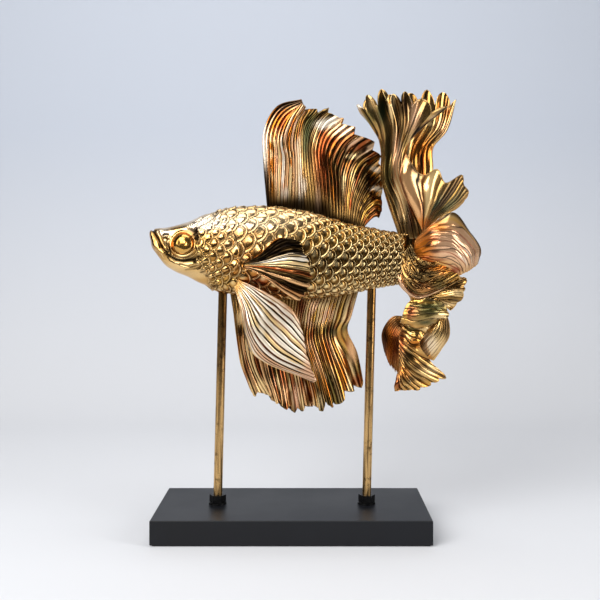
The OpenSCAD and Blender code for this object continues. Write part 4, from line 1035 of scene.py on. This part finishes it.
tailLeaf = {
    "rays": [
        [[421, 316, 5], [435, 317, 3], [429, 327, 3], [422, 335, 5], [418, 343, 8]],
        [[422, 313, 5], [438, 316, 2], [435, 330, 0], [427, 341, 2], [420, 350, 6]],
        [[423, 310, 5], [441, 315, 1.5], [442, 332, -1], [433, 345, 1], [424, 354, 5]],
        [[424, 307, 5], [443, 314, 2], [446, 333, 0], [438, 347, 2], [428, 358.5, 6]],
        [[425, 304, 6], [445, 314, 4], [449.5, 334, 4], [442, 348, 6], [433.5, 361, 9]]
    ],
    "patches": [
        (433, 343, 14, 14, "cream", 0.9), (430, 345, 8, 10, "white", 0.4), (447, 326, 4, 14, "umber", 0.9),
        (421, 340, 3, 8, "umber", 0.8), (438, 333, 4, 8, "taupe", 0.6)
    ],
    "grid": (130, 80), "ribs": 8, "tips": 3, "notch": 0.02, "ragged": 0.01, "seed": 47, "edgeThick": 1.2,
    "bead": 0.3, "ribHeight": 0.5, "soft": 0.3
}
gilded(ribbedSheet("tailLeaf", tailLeaf), "tail_leaf")

tailVeil = {
    "rays": [
        [[406, 316, 9], [392, 317, 11], [382.5, 332, 13], [385, 352, 14]],
        [[406, 319, 9], [395, 325, 7], [388, 341, 7], [390, 366, 8]],
        [[406.5, 322, 9], [398, 333, 6], [394, 349, 6], [395, 373, 7]],
        [[407, 324, 10], [402, 338, 8], [400, 354, 8], [400, 375, 9]],
        [[408, 326, 11], [407, 341, 12], [406, 357, 13], [404, 372, 13]]
    ],
    "patches": [
        (393, 345, 14, 30, "copper", 0.9), (391, 340, 3, 20, "orange", 0.6), (396, 325, 8, 5, "umber", 0.7),
        (386, 345, 3, 18, "umber", 0.8)
    ],
    "grid": (170, 100), "ribs": 17, "tips": 9, "notch": 0.05, "ragged": 0.03, "seed": 51, "sharp": 0.6,
    "ribHeight": 1.1, "ribFull": 2.0
}
gilded(ribbedSheet("tailVeil", tailVeil), "tail_veil")

stemLook = {
    # stations in pixels: across, down, depth, half width and half depth
    "table": [
        [410, 230, 1, 10.5, 10], [411, 246, 1, 10.5, 9], [410.5, 262, 1, 12, 8], [409, 276, 1, 14.5, 8],
        [413.5, 288, 1, 12, 7.5], [420, 299, 3, 9.5, 7], [419, 322, 5, 8, 6]
    ],
    "patches": [
        (408, 240, 12, 10, "umber", 0.8), (404, 262, 5, 14, "copper", 0.8), (412, 256, 6, 8, "night", 0.6),
        (405, 285, 8, 8, "rose", 0.6), (416, 290, 5, 10, "olive", 0.6), (422, 275, 6, 14, "umber", 0.6)
    ],
    "rings": 150, "sides": 130, "ribs": 15, "ribHeight": 0.9, "twist": 0.35,
    "domes": 0.06  # share of its length over which each end rounds off
}


def tailStem():
    # a bent column whose ribs wind round it as a sine of turn and length, drawn in to a point at both ends
    look = stemLook
    s = np.linspace(0, 1, look["rings"])
    q = spline(np.array([look["table"]]), s[None])[0]
    turn = 2 * np.pi * np.arange(look["sides"]) / look["sides"]
    ends = np.minimum(s, 1 - s) / look["domes"]
    shrink = np.sqrt(np.clip(1 - np.clip(1 - ends, 0, 1) ** 2, 0, 1))[:, None]
    gridS, gridT = np.meshgrid(s, turn, indexing="ij")
    swell = 0.03 * wander(gridS * 2, np.sin(gridT), 8)
    phase = look["ribs"] * (gridT / (2 * np.pi) + look["twist"] * gridS + swell)
    crest = np.abs(np.sin(np.pi * phase)) ** 0.6
    grow = 1 + look["ribHeight"] * (crest - 0.6) / q[:, 3:4]
    points = place(q[:, :3])[:, None].repeat(look["sides"], 1)
    points[..., 0] += photo["pixel"] * q[:, 3:4] * grow * shrink * np.cos(gridT)
    points[..., 1] += photo["pixel"] * q[:, 4:5] * grow * shrink * np.sin(gridT)
    points[[0, -1]] = points[[0, -1]].mean(1, keepdims=True)
    ids = np.arange(look["rings"] * look["sides"]).reshape(look["rings"], look["sides"])
    ids[0], ids[-1] = ids[0, 0], ids[-1, 0]
    faces = tubeTriangles(ids)
    whole = (faces != np.roll(faces, 1, 1)).all(1)  # those at the points lose a corner
    used, faces = np.unique(faces[whole], return_inverse=True)
    tone = 0.3 + 0.5 * scattered(np.floor(phase) * 12.9898)
    # darker between the ribs: antiquing and painted shade
    values = painted(tinted(*seen(points), look["patches"]), (1 - crest) ** 2, tone)
    values = {key: flat(value)[used] for key, value in values.items()}
    return meshFrom("tailStem", flat(points)[used], faces.reshape(-1, 3), values)


gilded(tailStem(), "tail_stem")
print("tail ready")

# Plinth, rods and fasteners

lacquerLook = {
    "colour": "#0A0B0F", "hazy": "#171B23", "roughness": 0.42, "specular": 0.32,
    "grain": 0.6, "smears": 71.43  # millimetres
}


def blackLacquer():
    # satin black lacquer over board: a soft sheen, with a faint grain and smears that break up reflections
    look = lacquerLook
    material, tree, where = newMaterial("blackLacquer")
    grain = node(tree, "TexNoise", {"Vector": where, "Scale": 1000 / look["grain"], "Detail": 2.0})
    smears = node(tree, "TexNoise", {"Vector": where, "Scale": 1000 / look["smears"], "Detail": 3.0})
    haze = node(tree, "MapRange", (smears, 0.3, 0.7, 0.0, 0.25))
    rough = node(tree, "MapRange", (smears, 0.3, 0.7, look["roughness"] - 0.04, look["roughness"] + 0.05))
    shader = node(tree, "BsdfPrincipled", {
        "Base Color": layered(tree, look["colour"], (haze, look["hazy"])),
        "Roughness": rough, "Specular IOR Level": look["specular"],
        "Normal": node(tree, "Bump", {"Height": grain, "Strength": 0.06, "Distance": 0.0002})
    })
    node(tree, "OutputMaterial", (shader,))
    return material


rodLook = {
    "colour": "#CFA86E", "dark": "#4A331C", "bronze": "#946A34", "roughness": 0.22,
    "bronzeFrom": 0.08, "bronzeTo": 0.22,  # metres above the floor between which the bronze tone comes in
    "markWide": 1.111, "markLong": 40, "spots": 6.25  # millimetres
}


def brushedBrass():
    # brass rod drawn through a die: marks along its length with dark lines on them that are painted
    # reflection, spots of tarnish, and a bronze tone that deepens upwards; real marks are too fine to show,
    # so they are drawn about a millimetre wide
    look = rodLook
    material, tree, where = newMaterial("brushedBrass")
    lengthways = node(tree, "Mapping", {
        "Vector": where, "Scale": (1000 / look["markWide"], 1000 / look["markWide"], 1000 / look["markLong"])
    })
    marks = node(tree, "TexNoise", {"Vector": lengthways, "Scale": 1.0, "Detail": 3.0})
    spots = node(tree, "TexNoise", {
        "Vector": where, "Scale": 1000 / look["spots"], "Detail": 3.0, "Roughness": 0.65
    })
    height = node(tree, "SeparateXYZ", {"Vector": where}, "Z")
    colour = layered(
        tree, look["colour"],
        (node(tree, "MapRange", (height, look["bronzeFrom"], look["bronzeTo"], 0.0, 1.0)), look["bronze"]),
        # dark lines along the rod: painted reflection
        (node(tree, "MapRange", (marks, 0.5, 0.62, 0.0, 0.75)), look["dark"]),
        (node(tree, "MapRange", (spots, 0.56, 0.68, 0.0, 0.85)), look["dark"])
    )
    rough = node(tree, "MapRange", (marks, 0.3, 0.7, look["roughness"] - 0.08, look["roughness"] + 0.15))
    shader = node(tree, "BsdfPrincipled", {
        "Base Color": colour, "Metallic": 1.0, "Roughness": rough,
        "Normal": node(tree, "Bump", {"Height": marks, "Strength": 0.2, "Distance": 0.0002})
    })
    node(tree, "OutputMaterial", (shader,))
    return material


steelLook = {
    "colour": "#131314", "worn": "#2E2D2C", "metallic": 0.7, "roughness": (0.3, 0.5),
    "wear": 2.381  # millimetres
}


def blackenedSteel():
    # blackened steel: dark, half shiny, with wear that shows on its faces
    look = steelLook
    material, tree, where = newMaterial("blackenedSteel")
    wear = node(tree, "TexNoise", {"Vector": where, "Scale": 1000 / look["wear"], "Detail": 3.0})
    worn = node(tree, "MapRange", (wear, 0.45, 0.7, 0.0, 0.5))
    shader = node(tree, "BsdfPrincipled", {
        "Base Color": layered(tree, look["colour"], (worn, look["worn"])), "Metallic": look["metallic"],
        "Roughness": node(tree, "MapRange", (wear, 0.3, 0.7) + look["roughness"])
    })
    node(tree, "OutputMaterial", (shader,))
    return material


insertLook = {"colour": "#B9975A", "roughness": 0.3, "marks": 0.628}  # millimetres between turning marks


def machinedBrass():
    # turned brass: bright, with fine marks round its axis; the wave repeats every tenth of pi of its scale
    look = insertLook
    material, tree, where = newMaterial("machinedBrass")
    marks = node(tree, "TexWave", {
        "Vector": where, "Scale": 100 * math.pi / look["marks"], "Distortion": 1.0, "Detail": 1.0
    }, "Fac", bands_direction="Z")
    shader = node(tree, "BsdfPrincipled", {
        "Base Color": linear(look["colour"]), "Metallic": 1.0, "Roughness": look["roughness"],
        "Normal": node(tree, "Bump", {"Height": marks, "Strength": 0.3, "Distance": 0.0001})
    })
    node(tree, "OutputMaterial", (shader,))
    return material


feltLook = {"colour": "#0B0B0C", "pale": "#232325", "roughness": 0.95, "nap": 0.5556}  # millimetres


def woolFelt():
    # black wool felt: matt, with a short nap that scatters light; its fibres are drawn coarser than real ones
    look = feltLook
    material, tree, where = newMaterial("woolFelt")
    nap = node(tree, "TexNoise", {"Vector": where, "Scale": 1000 / look["nap"], "Detail": 4.0})
    shader = node(tree, "BsdfPrincipled", {
        "Base Color": layered(tree, look["colour"], (nap, look["pale"])), "Roughness": look["roughness"],
        "Normal": node(tree, "Bump", {"Height": nap, "Strength": 0.8, "Distance": 0.0004})
    })
    node(tree, "OutputMaterial", (shader,))
    return material


fastenerLook = {"edge": 0.0003, "steps": 2}  # metres that a nut's or washer's edge is broken by


def dress(nodeName, material):
    # a node of the CAD model keeps its mesh and gets a material
    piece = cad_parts[nodeName]
    piece.data.materials.clear()
    piece.data.materials.append(material)
    return piece


dress("plinth", blackLacquer())
dress("base_felt", woolFelt())
rodBrass, black, insertBrass = brushedBrass(), blackenedSteel(), machinedBrass()
for end in ("front", "rear"):
    dress(end + "_rod", rodBrass)
    dress(end + "_insert", insertBrass)
    for fastener in ("_top_nut", "_under_nut", "_top_washer", "_under_washer"):
        softened = dress(end + fastener, black).modifiers.new("edges", "BEVEL")
        softened.width = fastenerLook["edge"]
        softened.segments = fastenerLook["steps"]
        softened.limit_method = "ANGLE"
print("plinth and hardware dressed")

# Studio

studio = {
    "floor": "#D7D8DB", "wall": "#C4CAD5", "world": "#B4B2AE", "worldStrength": 0.07,
    # the paper's half width, front edge, start of the bend, its radius, and top, in metres
    "half": 2.2, "front": -0.6, "bend": 0.45, "radius": 0.45, "top": 2.4,
    # name, place, width and height, watts
    "lamps": [
        ("keyLamp", (-0.85, -0.95, 1.0), (1.1, 1.1), 24.0),
        ("topLamp", (0.0, -0.1, 1.5), (1.3, 1.0), 12.0),
        ("rightLamp", (1.1, -0.55, 0.45), (0.5, 1.1), 8.0),
        ("frontLamp", (-0.3, -1.5, 0.72), (0.24, 0.24), 2.2)
    ],
    "aim": (0.02, 0, 0.25),  # the point that the lamps face
    "lens": 50.57, "shift": (-0.011, -0.0723), "viewer": (0.0130, -0.7634, 0.2454)
}


def backdrop():
    # one sheet of paper: floor in front, then a quarter circle up to a wall behind
    look = studio
    turn = np.linspace(0, np.pi / 2, 24)[1:]
    bend, radius = look["bend"], look["radius"]
    y = np.concatenate(([look["front"], bend], bend + radius * np.sin(turn), [bend + radius]))
    z = np.concatenate(([0, 0], radius * (1 - np.cos(turn)), [look["top"]]))
    x = np.array([-look["half"], look["half"]])
    points = np.stack((np.repeat(x, len(y)), np.tile(y, 2), np.tile(z, 2)), -1)
    paper = meshFrom("backdrop", points, quads(np.arange(2 * len(y)).reshape(2, len(y))), {})
    material, tree, where = newMaterial("studioPaper")
    height = node(tree, "SeparateXYZ", {"Vector": where}, "Z")
    risen = node(tree, "MapRange", (height, 0.0, 0.5, 0.0, 1.0))
    colour = layered(tree, look["floor"], (risen, look["wall"]))
    node(tree, "OutputMaterial", (node(tree, "BsdfPrincipled", {"Base Color": colour, "Roughness": 0.9}),))
    paper.data.materials.append(material)


backdrop()
world = bpy.data.worlds.new("studioWorld")
bpy.context.scene.world = world
world.use_nodes = True
sky = world.node_tree.nodes["Background"]
sky.inputs["Color"].default_value = linear(studio["world"])
sky.inputs["Strength"].default_value = studio["worldStrength"]
for lampName, spot, size, power in studio["lamps"]:
    light = bpy.data.lights.new(lampName, "AREA")
    light.shape = "RECTANGLE"
    light.size, light.size_y = size
    light.energy = power
    lamp = bpy.data.objects.new(lampName, light)
    bpy.context.scene.collection.objects.link(lamp)
    lamp.location = spot
    x, y, z = np.array(spot) - np.array(studio["aim"])
    lamp.rotation_euler = (math.atan2(math.hypot(x, y), z), 0, math.atan2(x, -y))

camera = bpy.data.cameras.new("camera")
camera.lens = studio["lens"]
camera.shift_x, camera.shift_y = studio["shift"]
viewer = bpy.data.objects.new("camera", camera)
viewer.location = studio["viewer"]
viewer.rotation_euler = (math.pi / 2, 0, 0)
bpy.context.scene.collection.objects.link(viewer)
bpy.context.scene.camera = viewer
bpy.context.scene.view_settings.view_transform = "Standard"
print("studio ready")
